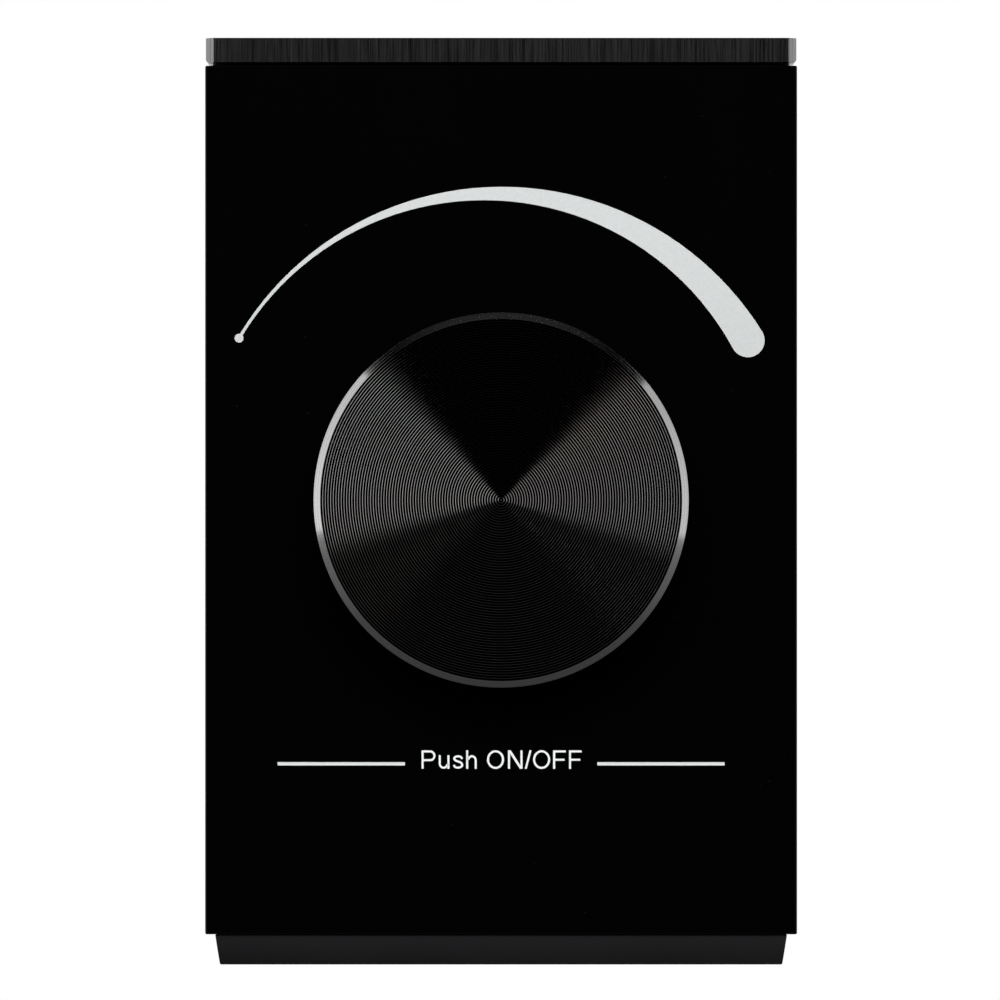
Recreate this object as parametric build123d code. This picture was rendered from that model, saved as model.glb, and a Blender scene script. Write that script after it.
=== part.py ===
from build123d import *
import math
import os

# Frame: origin on the wall plane in the middle of the panel, +X right, +Z up, front towards -Y. Millimetres.

# Overall sizes of the front
plate_width = 80.0
glass_height = 117.4
glass_thickness = 4.0
glass_edge_chamfer = 0.15
glass_corner_radius = 0.25
glass_hole_radius = 8.0

# Depth levels, counted from the wall plane towards the front
web_thickness = 2.0
base_depth = 9.0
carrier_thickness = 2.0
adhesive_thickness = 0.4
adhesive_inset = 2.0
adhesive_hole_radius = 9.0
print_thickness = 0.04

# Rail above the glass
rail_gap = 0.45
rail_height = 3.4
rail_setback = 1.3
rail_rear_margin = 1.2
rail_end_bevel = 1.08
rail_edge_break = 0.12
rail_corner_break = 0.4
rail_screw_pitch = 44.0

# Moulded base
base_inset = 1.25
base_top_spread = 0.5
chin_taper = 0.6
chin_drop = 4.28
chin_setback = 0.6
chin_step = 0.1
chin_glass_gap = 0.15
chin_corner_radius = 0.25
chin_crown = 0.25
base_draft_angle = 2.0
side_wall = 2.1
pocket_wall = 2.0
chin_wall = 5.1
chin_bevel_depth = 1.0
chin_core_length = 18.0
chin_core_height = 1.7
chin_core_depth = 10.5
chin_core_pitch = 22.0
pry_slot_width = 9.0
pry_slot_height = 1.4
pry_slot_depth = 2.0
web_rib_thickness = 1.2
web_rib_height = 2.5
box_screw_pitch = 83.3
box_slot_half_width = 2.1
box_slot_length = 7.0

# Tub that goes into the wall box
tub_width = 48.0
tub_height = 68.0
tub_depth = 26.0
tub_wall = 1.8
tub_corner_radius = 2.5
tub_rear_radius = 1.0
vent_count = 6
vent_pitch = 5.0
vent_width = 1.4
vent_length = 13.0
vent_start = 5.0

# Snap hooks between carrier and base
catch_reach = 1.0
catch_thickness = 1.2
catch_length = 10.0
catch_level = 5.0
hook_positions = (-34.0, 34.0)
hook_thickness = 1.4
hook_clearance = 0.2
hook_barb_gap = 0.1
hook_barb_height = 1.2
hook_barb_reach = 0.9

# Carrier
carrier_inset_x = 1.6
carrier_inset_z = 0.8
skirt_thickness = 1.2
skirt_clearance = 0.2
skirt_height = 4.0
skirt_half_length = 18.0
carrier_rib_thickness = 1.0
carrier_rib_height = 2.6
carrier_rib_x = 27.0
carrier_rib_z = 32.0

# Boards and their screws
board_thickness = 1.6
control_board_clearance = 0.7
control_board_height = 45.0
control_screw_inset = 4.0
control_boss_radius = 2.6
screw_pilot_clearance = 0.05
small_screw_radius = 0.9
small_screw_head_radius = 1.8
small_screw_head_height = 1.2
small_screw_grip = 4.5
screw_hole_clearance = 0.2
chip_size = 7.0
chip_height = 1.2
chip_inset_x = 10.5
chip_z = 10.0
chip_standoff = 0.1
chip_edge_break = 0.2
chip_leg_pitch = 0.8
chip_leg_width = 0.35
chip_leg_height = 0.45
chip_leg_reach = 1.0
chip_legs_per_side = 7

# Power board, barrier and long screws
power_board_level = 13.0
board_edge_clearance = 0.4
cover_level = 1.0
cover_thickness = 1.6
cover_clearance = 0.3
stack_inset = 3.8
stack_post_radius = 2.9
stack_screw_radius = 1.2
stack_screw_head_radius = 2.2
stack_screw_head_height = 1.3
stack_screw_grip = 6.5

# Connector between the boards
header_pitch = 2.54
header_count = 5
header_inset = 5.5
header_width = 2.5
header_block_height = 2.5
socket_height = 8.5
socket_floor = 1.2
pin_size = 0.64
pin_slot_clearance = 0.12
pin_tail = 1.4
pin_tip_gap = 1.0
socket_window_clearance = 0.8

# Rotary push encoder
push_travel = 1.0
shaft_radius = 3.0
running_clearance = 0.04
case_width = 12.4
case_height = 13.0
case_floor = 0.6
case_bore_radius = 5.6
dome_pocket_radius = 3.4
cover_plate_thickness = 0.6
cover_leg_width = 2.0
cover_leg_tail = 0.8
leg_slot_clearance = 0.2
bushing_radius = 3.5
bushing_length = 5.4
bushing_flange_radius = 5.0
bushing_flange_thickness = 0.5
seat_clearance = 0.05
washer_radius = 5.6
washer_thickness = 0.5
nut_across_flats = 10.0
nut_height = 2.0
ring_radius = 4.2
ring_thickness = 0.6
ring_gap = 0.05
ring_groove_radius = 2.5
rotor_radius = 5.3
rotor_recess_radius = 4.5
rotor_hub_thickness = 1.7
rotor_front_gap = 0.1
key_radius = 2.4
key_flat = 1.6
key_clearance = 0.05
rotor_detents = 20
detent_depth = 0.25
detent_width = 0.35
detent_ring_outer = 5.2
detent_ring_inner = 3.7
detent_ring_thickness = 0.15
plunger_radius = 3.1
plunger_thickness = 0.4
plunger_gap = 0.05
dome_base_radius = 2.8
dome_thickness = 0.1
encoder_pin_radius = 0.4
encoder_pin_tail = 0.6
encoder_pin_pitch = 2.5
encoder_pin_inset = 1.5
bushing_tip_chamfer = 0.3
detent_gap = 0.15
detent_bump_radius = 0.5
detent_bump_height = 0.1
detent_split = 1.0
ring_split = 1.6
plunger_edge_break = 0.1

# Knob
knob_radius = 25.0
knob_height = 11.0
knob_gap = 2.0
knob_chamfer = 0.9
knob_front_thickness = 2.0
knob_wall = 1.6
knob_back_chamfer = 0.4
hub_clearance = 0.05
hub_disc_thickness = 1.8
hub_rim_thickness = 1.4
hub_rim_depth = 6.5
hub_radius = 6.0
hub_rib_thickness = 1.2
hub_rib_depth = 4.0
hub_ribs = 6
hub_back_gap = 0.2
shaft_tip_gap = 0.2
shaft_seat_depth = 1.0
shaft_flat = 1.5
shaft_flat_length = 9.0
clip_thickness = 0.45
clip_width = 3.6
clip_length = 6.0

# Printed scale
arc_outer_radius = 41.43
arc_outer_shift = 0.09
arc_outer_rise = 0.89
arc_inner_radius = 38.29
arc_inner_shift = -2.32
arc_inner_rise = 2.23
arc_start_angle = 148.3
arc_end_angle = 32.9
arc_dot_radius = 0.6
rule_inner_x = 13.0
rule_outer_x = 30.2
rule_z = -35.65
rule_thickness = 0.45

# Parts on the power board
core_width = 15.0
core_height = 13.0
core_depth = 9.0
core_leg = 3.4
core_window = 3.6
core_margin = 6.2
core_z = 12.0
bobbin_wall = 0.5
winding_margin = 0.35
bobbin_depth = 8.4
capacitor_radius = 4.0
capacitor_length = 9.0
capacitor_margin = 7.7
capacitor_positions = (7.0, 17.0)
capacitor_groove_radius = 0.25
capacitor_groove_level = 1.4
choke_outer = 5.5
choke_inner = 2.6
choke_depth = 6.0
choke_margin = 4.0
choke_z = -6.5
fuse_radius = 3.6
fuse_height = 7.0
fuse_x = 0.0
fuse_margin = 3.1
transistor_width = 10.0
transistor_height = 9.0
transistor_body_thickness = 4.4
transistor_tab_thickness = 1.3
transistor_pitch = 12.0
transistor_tab_length = 4.0
transistor_body_drop = 2.6
transistor_lead_length = 2.0
transistor_lead = 0.7
transistor_lead_root = 0.3
sink_margin = 1.2
sink_thickness = 1.5
sink_length = 22.0
sink_depth = 8.5
sink_fin_height = 2.4
sink_fin_thickness = 0.9
sink_fin_pitch = 3.0
sink_fins = 7
sink_z = -3.0

# Terminals at the rear
pole_pitch = 5.08
pole_count = 4
terminal_height = 10.6
terminal_floor_gap = 0.3
entry_rise = 1.6
terminal_proud = 0.4
terminal_window_clearance = 0.4
entry_size = 3.6
entry_depth = 7.4
clamp_wall = 0.5
clamp_clearance = 0.06
clamp_depth = 5.0
clamp_setback = 1.2
terminal_screw_radius = 1.15
terminal_screw_head_radius = 1.75
terminal_screw_head_height = 1.3
terminal_screw_sink = 0.8
screw_slot_width = 0.5
screw_slot_depth = 0.5
pole_groove_width = 0.5
pole_groove_depth = 0.6
entry_funnel = 0.4
terminal_screw_run = 0.6

# Places across the panel that the sizes above fix
base_half_width_low = plate_width / 2 - base_inset
base_half_width_top = base_half_width_low + base_top_spread
base_half_width_foot = base_half_width_low - chin_taper
pocket_half_width = base_half_width_low - side_wall
tub_half_x = tub_width / 2 - tub_wall
tub_half_z = tub_height / 2 - tub_wall
tub_inner_radius = tub_corner_radius - tub_wall / 2
control_board_width = 2 * (tub_half_x - control_board_clearance)
control_screw_x = control_board_width / 2 - control_screw_inset
control_screw_z = control_board_height / 2 - control_screw_inset
stack_screw_x = tub_half_x - stack_inset
stack_screw_z = tub_half_z - stack_inset
header_z = header_inset - control_board_height / 2
chip_x = chip_inset_x - control_board_width / 2
core_x = tub_half_x - core_margin - core_width / 2
capacitor_x = capacitor_margin + capacitor_radius - tub_half_x
choke_x = tub_half_x - choke_margin - choke_outer
fuse_z = fuse_margin + fuse_radius - tub_half_z
transistor_x = sink_margin + sink_length / 2 - tub_half_x
terminal_z = terminal_floor_gap + terminal_height / 2 - tub_half_z

# Levels along Y that the sizes above fix
wall_y = 0.0
web_front_y = wall_y - web_thickness
rim_y = wall_y - base_depth
carrier_front_y = rim_y - carrier_thickness
glass_back_y = carrier_front_y - adhesive_thickness
glass_front_y = glass_back_y - glass_thickness
chin_front_y = glass_front_y + chin_setback
knob_back_y = glass_front_y - knob_gap
knob_front_y = knob_back_y - knob_height
board_front_y = web_front_y
board_back_y = board_front_y + board_thickness
tub_floor_y = tub_depth - tub_wall
power_back_y = power_board_level + board_thickness
cover_back_y = cover_level + cover_thickness
rail_bottom_z = glass_height / 2 + rail_gap
rail_top_z = rail_bottom_z + rail_height
base_bottom_z = -glass_height / 2 - chin_drop
pocket_top_z = rail_bottom_z - pocket_wall
pocket_bottom_z = base_bottom_z + chin_wall
chin_top_z = -glass_height / 2 - chin_glass_gap
chin_foot_z = base_bottom_z + chin_step


def block(x_size, z_size, y_front, y_rear, x=0.0, z=0.0):
    """Box between two depth levels, centred on x and z."""
    return Pos(x, (y_front + y_rear) / 2, z) * Box(x_size, y_rear - y_front, z_size)


def rod(radius, y_front, y_rear, x=0.0, z=0.0):
    """Cylinder along Y between two depth levels."""
    return Pos(x, (y_front + y_rear) / 2, z) * Rot(90, 0, 0) * Cylinder(radius, y_rear - y_front)


def prism(sketch, y_front, y_rear):
    """Front-view sketch (X and Z) extruded between two depth levels."""
    return extrude(Plane.XZ.offset(-y_rear) * sketch, amount=y_rear - y_front)


def spin(points):
    """Turned solid about the Y axis from (radius, y) points."""
    profile = make_face(Polyline(*[(radius, y) for radius, y in points], close=True))
    return revolve(profile, Axis.Y)


def corners(half_x, half_z):
    """The four sign combinations of a rectangle's corners."""
    return [(sx * half_x, sz * half_z) for sx in (-1, 1) for sz in (-1, 1)]


def screw(y_head, head_radius, head_height, radius, y_tip, x, z):
    """Pan-head screw along -Y or +Y, with a cross slot in its head."""
    direction = 1 if y_tip > y_head else -1
    y_seat = y_head + direction * head_height
    head = rod(head_radius, min(y_head, y_seat), max(y_head, y_seat), x, z)
    shank = rod(radius, min(y_seat, y_tip), max(y_seat, y_tip), x, z)
    y_slot = y_head + direction * screw_slot_depth
    low, high = min(y_head, y_slot), max(y_head, y_slot)
    cross = block(head_radius * 1.1, screw_slot_width, low, high, x, z)
    cross += block(screw_slot_width, head_radius * 1.1, low, high, x, z)
    return head + shank - cross


# Glass panel with polished edge breaks and the hole behind the knob
def make_front_glass():
    outline = RectangleRounded(plate_width, glass_height, glass_corner_radius)
    slab = prism(outline, glass_front_y, glass_back_y)
    rims = slab.faces().sort_by(Axis.Y)[0].edges() + slab.faces().sort_by(Axis.Y)[-1].edges()
    slab = chamfer(rims, glass_edge_chamfer)
    return slab - rod(glass_hole_radius, glass_front_y, glass_back_y)


# Bonding sheet
def make_glass_adhesive():
    width = plate_width - 2 * adhesive_inset - 2 * carrier_inset_x
    height = glass_height - 2 * adhesive_inset
    sheet = block(width, height, glass_back_y, carrier_front_y)
    return sheet - rod(adhesive_hole_radius, glass_back_y, carrier_front_y)


# Crescent between two circles with its dot and round end, and the two rules
def on_circle(angle, radius, shift, rise):
    """Point of an offset circle, seen at an angle from the knob's axis."""
    ray = (math.cos(math.radians(angle)), math.sin(math.radians(angle)))
    along = shift * ray[0] + rise * ray[1]
    reach = along + math.sqrt(radius ** 2 - shift ** 2 - rise ** 2 + along ** 2)
    return (reach * ray[0], reach * ray[1])


def outer_point(angle):
    return on_circle(angle, arc_outer_radius, arc_outer_shift, arc_outer_rise)


def inner_point(angle):
    return on_circle(angle, arc_inner_radius, arc_inner_shift, arc_inner_rise)


def make_scale_print():
    middle_angle = (arc_start_angle + arc_end_angle) / 2
    start_out, start_in = outer_point(arc_start_angle), inner_point(arc_start_angle)
    end_out, end_in = outer_point(arc_end_angle), inner_point(arc_end_angle)
    outline = ThreePointArc(start_out, outer_point(middle_angle), end_out) + Line(end_out, end_in)
    outline += ThreePointArc(end_in, inner_point(middle_angle), start_in) + Line(start_in, start_out)
    wedge = make_face(outline)
    dot_x, dot_z = (start_out[0] + start_in[0]) / 2, (start_out[1] + start_in[1]) / 2
    end_x, end_z = (end_out[0] + end_in[0]) / 2, (end_out[1] + end_in[1]) / 2
    wedge += Pos(dot_x, dot_z) * Circle(arc_dot_radius)
    wedge += Pos(end_x, end_z) * Circle(math.dist(end_out, end_in) / 2)
    y_front = glass_front_y - print_thickness
    solids = [prism(wedge, y_front, glass_front_y)]
    length = rule_outer_x - rule_inner_x
    for side in (-1, 1):
        x = side * (rule_outer_x + rule_inner_x) / 2
        solids.append(block(length, rule_thickness, y_front, glass_front_y, x, rule_z))
    return solids


# Carrier plate with skirts, ribs, hooks and board bosses
def make_glass_carrier():
    width = plate_width - 2 * carrier_inset_x
    height = glass_height - 2 * carrier_inset_z
    plate = block(width, height, carrier_front_y, rim_y)
    skirt_back = rim_y + skirt_height
    z_top = pocket_top_z - skirt_clearance - skirt_thickness / 2
    z_low = pocket_bottom_z + skirt_clearance + skirt_thickness / 2
    for z in (z_top, z_low):
        plate += block(2 * skirt_half_length, skirt_thickness, rim_y, skirt_back, 0, z)
    rib_back = rim_y + carrier_rib_height
    for side in (-1, 1):
        plate += block(carrier_rib_thickness, 2 * carrier_rib_z, rim_y, rib_back, side * carrier_rib_x, 0)
        plate += block(2 * carrier_rib_x, carrier_rib_thickness, rim_y, rib_back, 0, side * carrier_rib_z)
    hook_outer = pocket_half_width - catch_reach - hook_clearance
    barb_front = wall_y - catch_level + hook_barb_gap
    barb_back = barb_front + hook_barb_height
    for side in (-1, 1):
        for z in hook_positions:
            x = side * (hook_outer - hook_thickness / 2)
            plate += block(hook_thickness, catch_length, rim_y, barb_back, x, z)
            x_barb = side * (hook_outer + hook_barb_reach / 2)
            plate += block(hook_barb_reach, catch_length, barb_front, barb_back, x_barb, z)
    for x, z in corners(control_screw_x, control_screw_z):
        plate += rod(control_boss_radius, rim_y, board_front_y, x, z)
        pilot_end = board_front_y - small_screw_grip - small_screw_radius
        plate -= rod(small_screw_radius + screw_pilot_clearance, pilot_end, board_front_y, x, z)
    return plate - rod(bushing_radius + seat_clearance, carrier_front_y, rim_y)


# Brushed rail with bevelled ends and blind screw holes
def make_top_rail():
    y_front = glass_front_y + rail_setback
    y_rear = wall_y - rail_rear_margin
    bar = block(plate_width, rail_height, y_front, y_rear, 0, (rail_top_z + rail_bottom_z) / 2)
    uprights = bar.edges().filter_by(Axis.Z)
    bar = chamfer(uprights.sort_by(Axis.Y)[:2], rail_end_bevel)
    low_ends = bar.faces().sort_by(Axis.Z)[0].edges().filter_by(Axis.Y)
    bar = chamfer(low_ends, rail_corner_break)
    front_face = bar.faces().filter_by(Axis.Y).sort_by(Axis.Y)[0]
    bar = chamfer(front_face.edges().filter_by(Axis.X), rail_edge_break)
    for side in (-1, 1):
        hole = Cylinder(small_screw_radius + screw_pilot_clearance, 2 * rail_screw_depth())
        bar -= Pos(side * rail_screw_pitch / 2, rail_screw_y(), rail_bottom_z) * hole
    return bar


def rail_screw_y():
    return (web_front_y + rim_y) / 2


def rail_screw_depth():
    return 0.75 * rail_height


def make_rail_screws():
    solids = []
    for side in (-1, 1):
        x = side * rail_screw_pitch / 2
        z_head = pocket_top_z - small_screw_head_height / 2
        head = Pos(x, rail_screw_y(), z_head) * Cylinder(small_screw_head_radius, small_screw_head_height)
        z_tip = rail_bottom_z + rail_screw_depth() - screw_hole_clearance
        z_middle = (pocket_top_z + z_tip) / 2
        shank = Pos(x, rail_screw_y(), z_middle) * Cylinder(small_screw_radius, z_tip - pocket_top_z)
        z_slot = pocket_top_z - small_screw_head_height + screw_slot_depth / 2
        slot = Box(small_screw_head_radius * 1.1, screw_slot_width, screw_slot_depth)
        cross = Box(screw_slot_width, small_screw_head_radius * 1.1, screw_slot_depth)
        solids.append(head + shank - Pos(x, rail_screw_y(), z_slot) * (slot + cross))
    return solids


# Moulded base: drafted tray, chin, box-screw slots and the tub behind
def make_base_housing():
    outline = [
        (base_half_width_top, rail_bottom_z),
        (base_half_width_low, -glass_height / 2),
        (base_half_width_foot, base_bottom_z),
    ]
    outline += [(-x, z) for x, z in reversed(outline)]
    rim_plane = Plane(origin=(0, rim_y, 0), x_dir=(-1, 0, 0), z_dir=(0, 1, 0))
    tray_face = rim_plane * make_face(Polyline(*outline, close=True))
    tray = extrude(tray_face, amount=base_depth, taper=base_draft_angle)
    corner_edges = [edge for edge in tray.edges() if abs((edge @ 0).Y - (edge @ 1).Y) > base_depth / 2]
    corner_edges.sort(key=lambda edge: edge.center().Z)
    tray = fillet(corner_edges[:2], chin_corner_radius)
    # The top stays square under the rail
    tray += block(2 * base_half_width_low, pocket_wall, rim_y, wall_y, 0, rail_bottom_z - pocket_wall / 2)
    # The chin reaches forward under the glass, nearly to its front, with a small step to the tray
    chin_outline = [
        (base_half_width_low - chin_step, chin_top_z),
        (base_half_width_foot - chin_step, chin_foot_z),
    ]
    chin_outline += [(-x, z) for x, z in reversed(chin_outline)]
    chin_face = rim_plane * make_face(Polyline(*chin_outline, close=True))
    chin = extrude(chin_face, amount=chin_front_y - rim_y)
    chin_edges = chin.edges().filter_by(Axis.Y).sort_by(Axis.Z)
    tray += fillet(chin_edges[:2], chin_corner_radius)
    # Its front is crowned: it leans back more and more towards its foot
    bevel_top = (chin_front_y, chin_top_z)
    bevel_foot = (chin_front_y + chin_bevel_depth, chin_foot_z)
    lean = math.dist(bevel_top, bevel_foot)
    bulge_y = (bevel_top[0] + bevel_foot[0]) / 2 - chin_crown * (chin_top_z - chin_foot_z) / lean
    bulge_z = (bevel_top[1] + bevel_foot[1]) / 2 - chin_crown * chin_bevel_depth / lean
    outside = chin_front_y - base_depth
    below = base_bottom_z - chin_drop
    waste = ThreePointArc(bevel_top, (bulge_y, bulge_z), bevel_foot)
    corner_points = [(bevel_foot[0], below), (outside, below), (outside, bevel_top[1])]
    waste += Polyline(bevel_foot, *corner_points, bevel_top)
    bevel = make_face(waste)
    tray -= Pos(-plate_width / 2, 0, 0) * extrude(Plane.YZ * bevel, amount=plate_width)
    pocket_height = pocket_top_z - pocket_bottom_z
    pocket_z = (pocket_top_z + pocket_bottom_z) / 2
    tray -= block(2 * pocket_half_width, pocket_height, rim_y, web_front_y, 0, pocket_z)
    # Core-outs behind the chin and a slot to prise the front off
    core_z = (base_bottom_z + pocket_bottom_z) / 2
    for index in (-1, 0, 1):
        x = index * chin_core_pitch
        tray -= block(chin_core_length, chin_core_height, wall_y - chin_core_depth, wall_y, x, core_z)
    slot_y = rim_y + 2 * pry_slot_depth
    slot = Box(pry_slot_width, pry_slot_height, 2 * pry_slot_depth)
    tray -= Pos(0, slot_y, base_bottom_z) * slot
    # Tub
    shell = prism(RectangleRounded(tub_width, tub_height, tub_corner_radius), web_front_y, tub_depth)
    shell = fillet(shell.faces().sort_by(Axis.Y)[-1].edges(), tub_rear_radius)
    tray += shell
    inner = RectangleRounded(2 * tub_half_x, 2 * tub_half_z, tub_inner_radius)
    tray -= prism(inner, web_front_y, tub_floor_y)
    for x, z in corners(stack_screw_x, stack_screw_z):
        tray += rod(stack_post_radius, power_back_y, tub_floor_y, x, z)
        pilot = stack_screw_radius + screw_pilot_clearance
        tray -= rod(pilot, power_back_y, power_back_y + stack_screw_grip + stack_screw_radius, x, z)
    # Vents in both flanks of the tub
    for side in (-1, 1):
        for index in range(vent_count):
            z = (index - (vent_count - 1) / 2) * vent_pitch
            x = side * (tub_width - tub_wall) / 2
            tray -= block(2 * tub_wall, vent_width, vent_start, vent_start + vent_length, x, z)
    # Window for the terminals, open to the rear and below
    window = pole_pitch * pole_count + 2 * terminal_window_clearance
    window_top = terminal_z + terminal_height / 2 + terminal_window_clearance
    window_low = -tub_height / 2 - 1.0
    window_z = (window_top + window_low) / 2
    front = power_back_y + terminal_window_clearance
    tray -= block(window, window_top - window_low, tub_floor_y - 0.01, tub_depth, 0, window_z)
    below_z = -tub_height / 2 + tub_wall / 2
    tray -= block(window, 2 * tub_wall, front, tub_depth, 0, below_z)
    # Slots for the box screws and ribs on the web
    for side in (-1, 1):
        slot = Rot(0, 0, 90) * SlotOverall(box_slot_length, 2 * box_slot_half_width)
        tray -= prism(Pos(0, side * box_screw_pitch / 2) * slot, web_front_y, wall_y)
        rib_x = (tub_width / 2 + pocket_half_width) / 2
        y_rib = web_front_y - web_rib_height
        tray += block(web_rib_thickness, pocket_height, y_rib, web_front_y, side * rib_x, pocket_z)
        for z in hook_positions:
            x = side * (pocket_half_width - catch_reach / 2)
            y_catch = wall_y - catch_level
            tray += block(catch_reach, catch_length, y_catch - catch_thickness, y_catch, x, z)
        hole = Cylinder(small_screw_radius + screw_hole_clearance, 2 * pocket_wall)
        tray -= Pos(side * rail_screw_pitch / 2, rail_screw_y(), pocket_top_z + pocket_wall / 2) * hole
    return tray


# Barrier over the power board, on four tubular posts
def make_inner_cover():
    width = 2 * (tub_half_x - cover_clearance)
    height = 2 * (tub_half_z - cover_clearance)
    cover = prism(RectangleRounded(width, height, tub_inner_radius), cover_level, cover_back_y)
    for x, z in corners(stack_screw_x, stack_screw_z):
        cover += rod(stack_post_radius, cover_back_y, power_board_level, x, z)
        cover -= rod(stack_screw_radius + screw_hole_clearance, cover_level, power_board_level, x, z)
    window_x = header_pitch * header_count + 2 * socket_window_clearance
    window_z = header_width + 2 * socket_window_clearance
    return cover - block(window_x, window_z, cover_level, cover_back_y, 0, header_z)


def make_cover_screws():
    tip = power_back_y + stack_screw_grip
    y_head = cover_level - stack_screw_head_height
    head = (stack_screw_head_radius, stack_screw_head_height, stack_screw_radius)
    return [screw(y_head, *head, tip, x, z) for x, z in corners(stack_screw_x, stack_screw_z)]


# Boards
def header_x():
    return [(index - (header_count - 1) / 2) * header_pitch for index in range(header_count)]


def make_power_board():
    width = 2 * (tub_half_x - board_edge_clearance)
    height = 2 * (tub_half_z - board_edge_clearance)
    board = prism(RectangleRounded(width, height, tub_inner_radius), power_board_level, power_back_y)
    for x, z in corners(stack_screw_x, stack_screw_z):
        board -= rod(stack_screw_radius + screw_hole_clearance, power_board_level, power_back_y, x, z)
    for x in header_x():
        size = pin_size + 2 * pin_slot_clearance
        board -= block(size, size, power_board_level, power_back_y, x, header_z)
    return board


def leg_x():
    return case_width / 2 + cover_plate_thickness / 2


def encoder_pin_places():
    rear = case_height / 2 - encoder_pin_inset
    places = [(index * encoder_pin_pitch, -rear) for index in (-1, 0, 1)]
    return places + [(side * encoder_pin_pitch, rear) for side in (-1, 1)]


def make_control_board():
    board = block(control_board_width, control_board_height, board_front_y, board_back_y)
    for x, z in corners(control_screw_x, control_screw_z):
        board -= rod(small_screw_radius + screw_hole_clearance, board_front_y, board_back_y, x, z)
    for x, z in encoder_pin_places():
        board -= rod(encoder_pin_radius + pin_slot_clearance, board_front_y, board_back_y, x, z)
    for side in (-1, 1):
        width = cover_plate_thickness + 2 * leg_slot_clearance
        height = cover_leg_width + 2 * leg_slot_clearance
        board -= block(width, height, board_front_y, board_back_y, side * leg_x(), 0)
    return board


def make_control_board_screws():
    y_head = board_back_y + small_screw_head_height
    tip = board_front_y - small_screw_grip
    head = (small_screw_head_radius, small_screw_head_height, small_screw_radius)
    return [screw(y_head, *head, tip, x, z) for x, z in corners(control_screw_x, control_screw_z)]


def make_controller_chip():
    chip_front_y = board_front_y - chip_height
    body = block(chip_size, chip_size, chip_front_y, board_front_y - chip_standoff, chip_x, chip_z)
    top = body.faces().sort_by(Axis.Y)[0]
    chip = chamfer(top.edges(), chip_edge_break)
    span = chip_size + 2 * chip_leg_reach
    leg_front = board_front_y - chip_leg_height
    for index in range(chip_legs_per_side):
        offset = (index - (chip_legs_per_side - 1) / 2) * chip_leg_pitch
        chip += block(span, chip_leg_width, leg_front, board_front_y, chip_x, chip_z + offset)
        chip += block(chip_leg_width, span, leg_front, board_front_y, chip_x + offset, chip_z)
    return chip


def make_socket_strip():
    socket_end = board_back_y + socket_height
    strip = block(header_pitch * header_count, header_width, board_back_y, socket_end, 0, header_z)
    for x in header_x():
        size = pin_size + 2 * pin_slot_clearance
        strip -= block(size, size, board_back_y + socket_floor, socket_end, x, header_z)
    return strip


def make_header_block():
    front = power_board_level - header_block_height
    strip = block(header_pitch * header_count, header_width, front, power_board_level, 0, header_z)
    for x in header_x():
        strip -= block(pin_size, pin_size, front, power_board_level, x, header_z)
    return strip


def make_header_pins():
    front = board_back_y + socket_floor + pin_tip_gap
    return [block(pin_size, pin_size, front, power_back_y + pin_tail, x, header_z) for x in header_x()]


# Levels inside the encoder
case_back_y = board_front_y
case_front_y = rim_y + cover_plate_thickness
case_floor_y = case_back_y - case_floor
flange_back_y = case_front_y + bushing_flange_thickness
ring_front_y = flange_back_y + ring_gap
ring_back_y = ring_front_y + ring_thickness
rotor_front_y = flange_back_y + rotor_front_gap
rotor_recess_y = ring_back_y + push_travel + rotor_front_gap
rotor_back_y = rotor_recess_y + rotor_hub_thickness
case_step_y = rotor_back_y + detent_ring_thickness + detent_gap
shaft_rear_y = case_step_y
plunger_front_y = shaft_rear_y + plunger_gap
plunger_back_y = plunger_front_y + plunger_thickness
hub_front_y = knob_front_y + knob_front_thickness
shaft_tip_y = hub_front_y + shaft_seat_depth + shaft_tip_gap


def make_encoder_case():
    case = block(case_width, case_height, case_front_y, case_back_y)
    case -= rod(case_bore_radius, case_front_y, case_step_y)
    return case - rod(dome_pocket_radius, case_step_y, case_floor_y)


def make_encoder_cover():
    width = case_width + 2 * cover_plate_thickness
    cover = block(width, case_height, rim_y, case_front_y)
    for side in (-1, 1):
        leg_end = board_back_y + cover_leg_tail
        cover += block(cover_plate_thickness, cover_leg_width, rim_y, leg_end, side * leg_x(), 0)
    return cover - rod(bushing_radius + seat_clearance, rim_y, case_front_y)


def make_encoder_bushing():
    tip = rim_y - bushing_length
    bore = shaft_radius + running_clearance
    return spin([
        (bore, tip),
        (bushing_radius - bushing_tip_chamfer, tip),
        (bushing_radius, tip + bushing_tip_chamfer),
        (bushing_radius, case_front_y),
        (bushing_flange_radius, case_front_y),
        (bushing_flange_radius, flange_back_y),
        (bore, flange_back_y),
    ])


def make_bushing_washer():
    y_front = carrier_front_y - washer_thickness
    ring = rod(washer_radius, y_front, carrier_front_y)
    return ring - rod(bushing_radius + seat_clearance, y_front, carrier_front_y)


def make_bushing_nut():
    y_rear = carrier_front_y - washer_thickness
    y_front = y_rear - nut_height
    nut = prism(RegularPolygon(nut_across_flats / 2, 6, major_radius=False), y_front, y_rear)
    return nut - rod(bushing_radius + seat_clearance, y_front, y_rear)


def make_encoder_pins():
    rear = board_back_y + encoder_pin_tail
    return [rod(encoder_pin_radius, case_back_y, rear, x, z) for x, z in encoder_pin_places()]


def double_flat(radius, half_flat, y_front, y_rear):
    """Round bar with two opposite flats."""
    return rod(radius, y_front, y_rear) & block(2 * radius, 2 * half_flat, y_front, y_rear)


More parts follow.
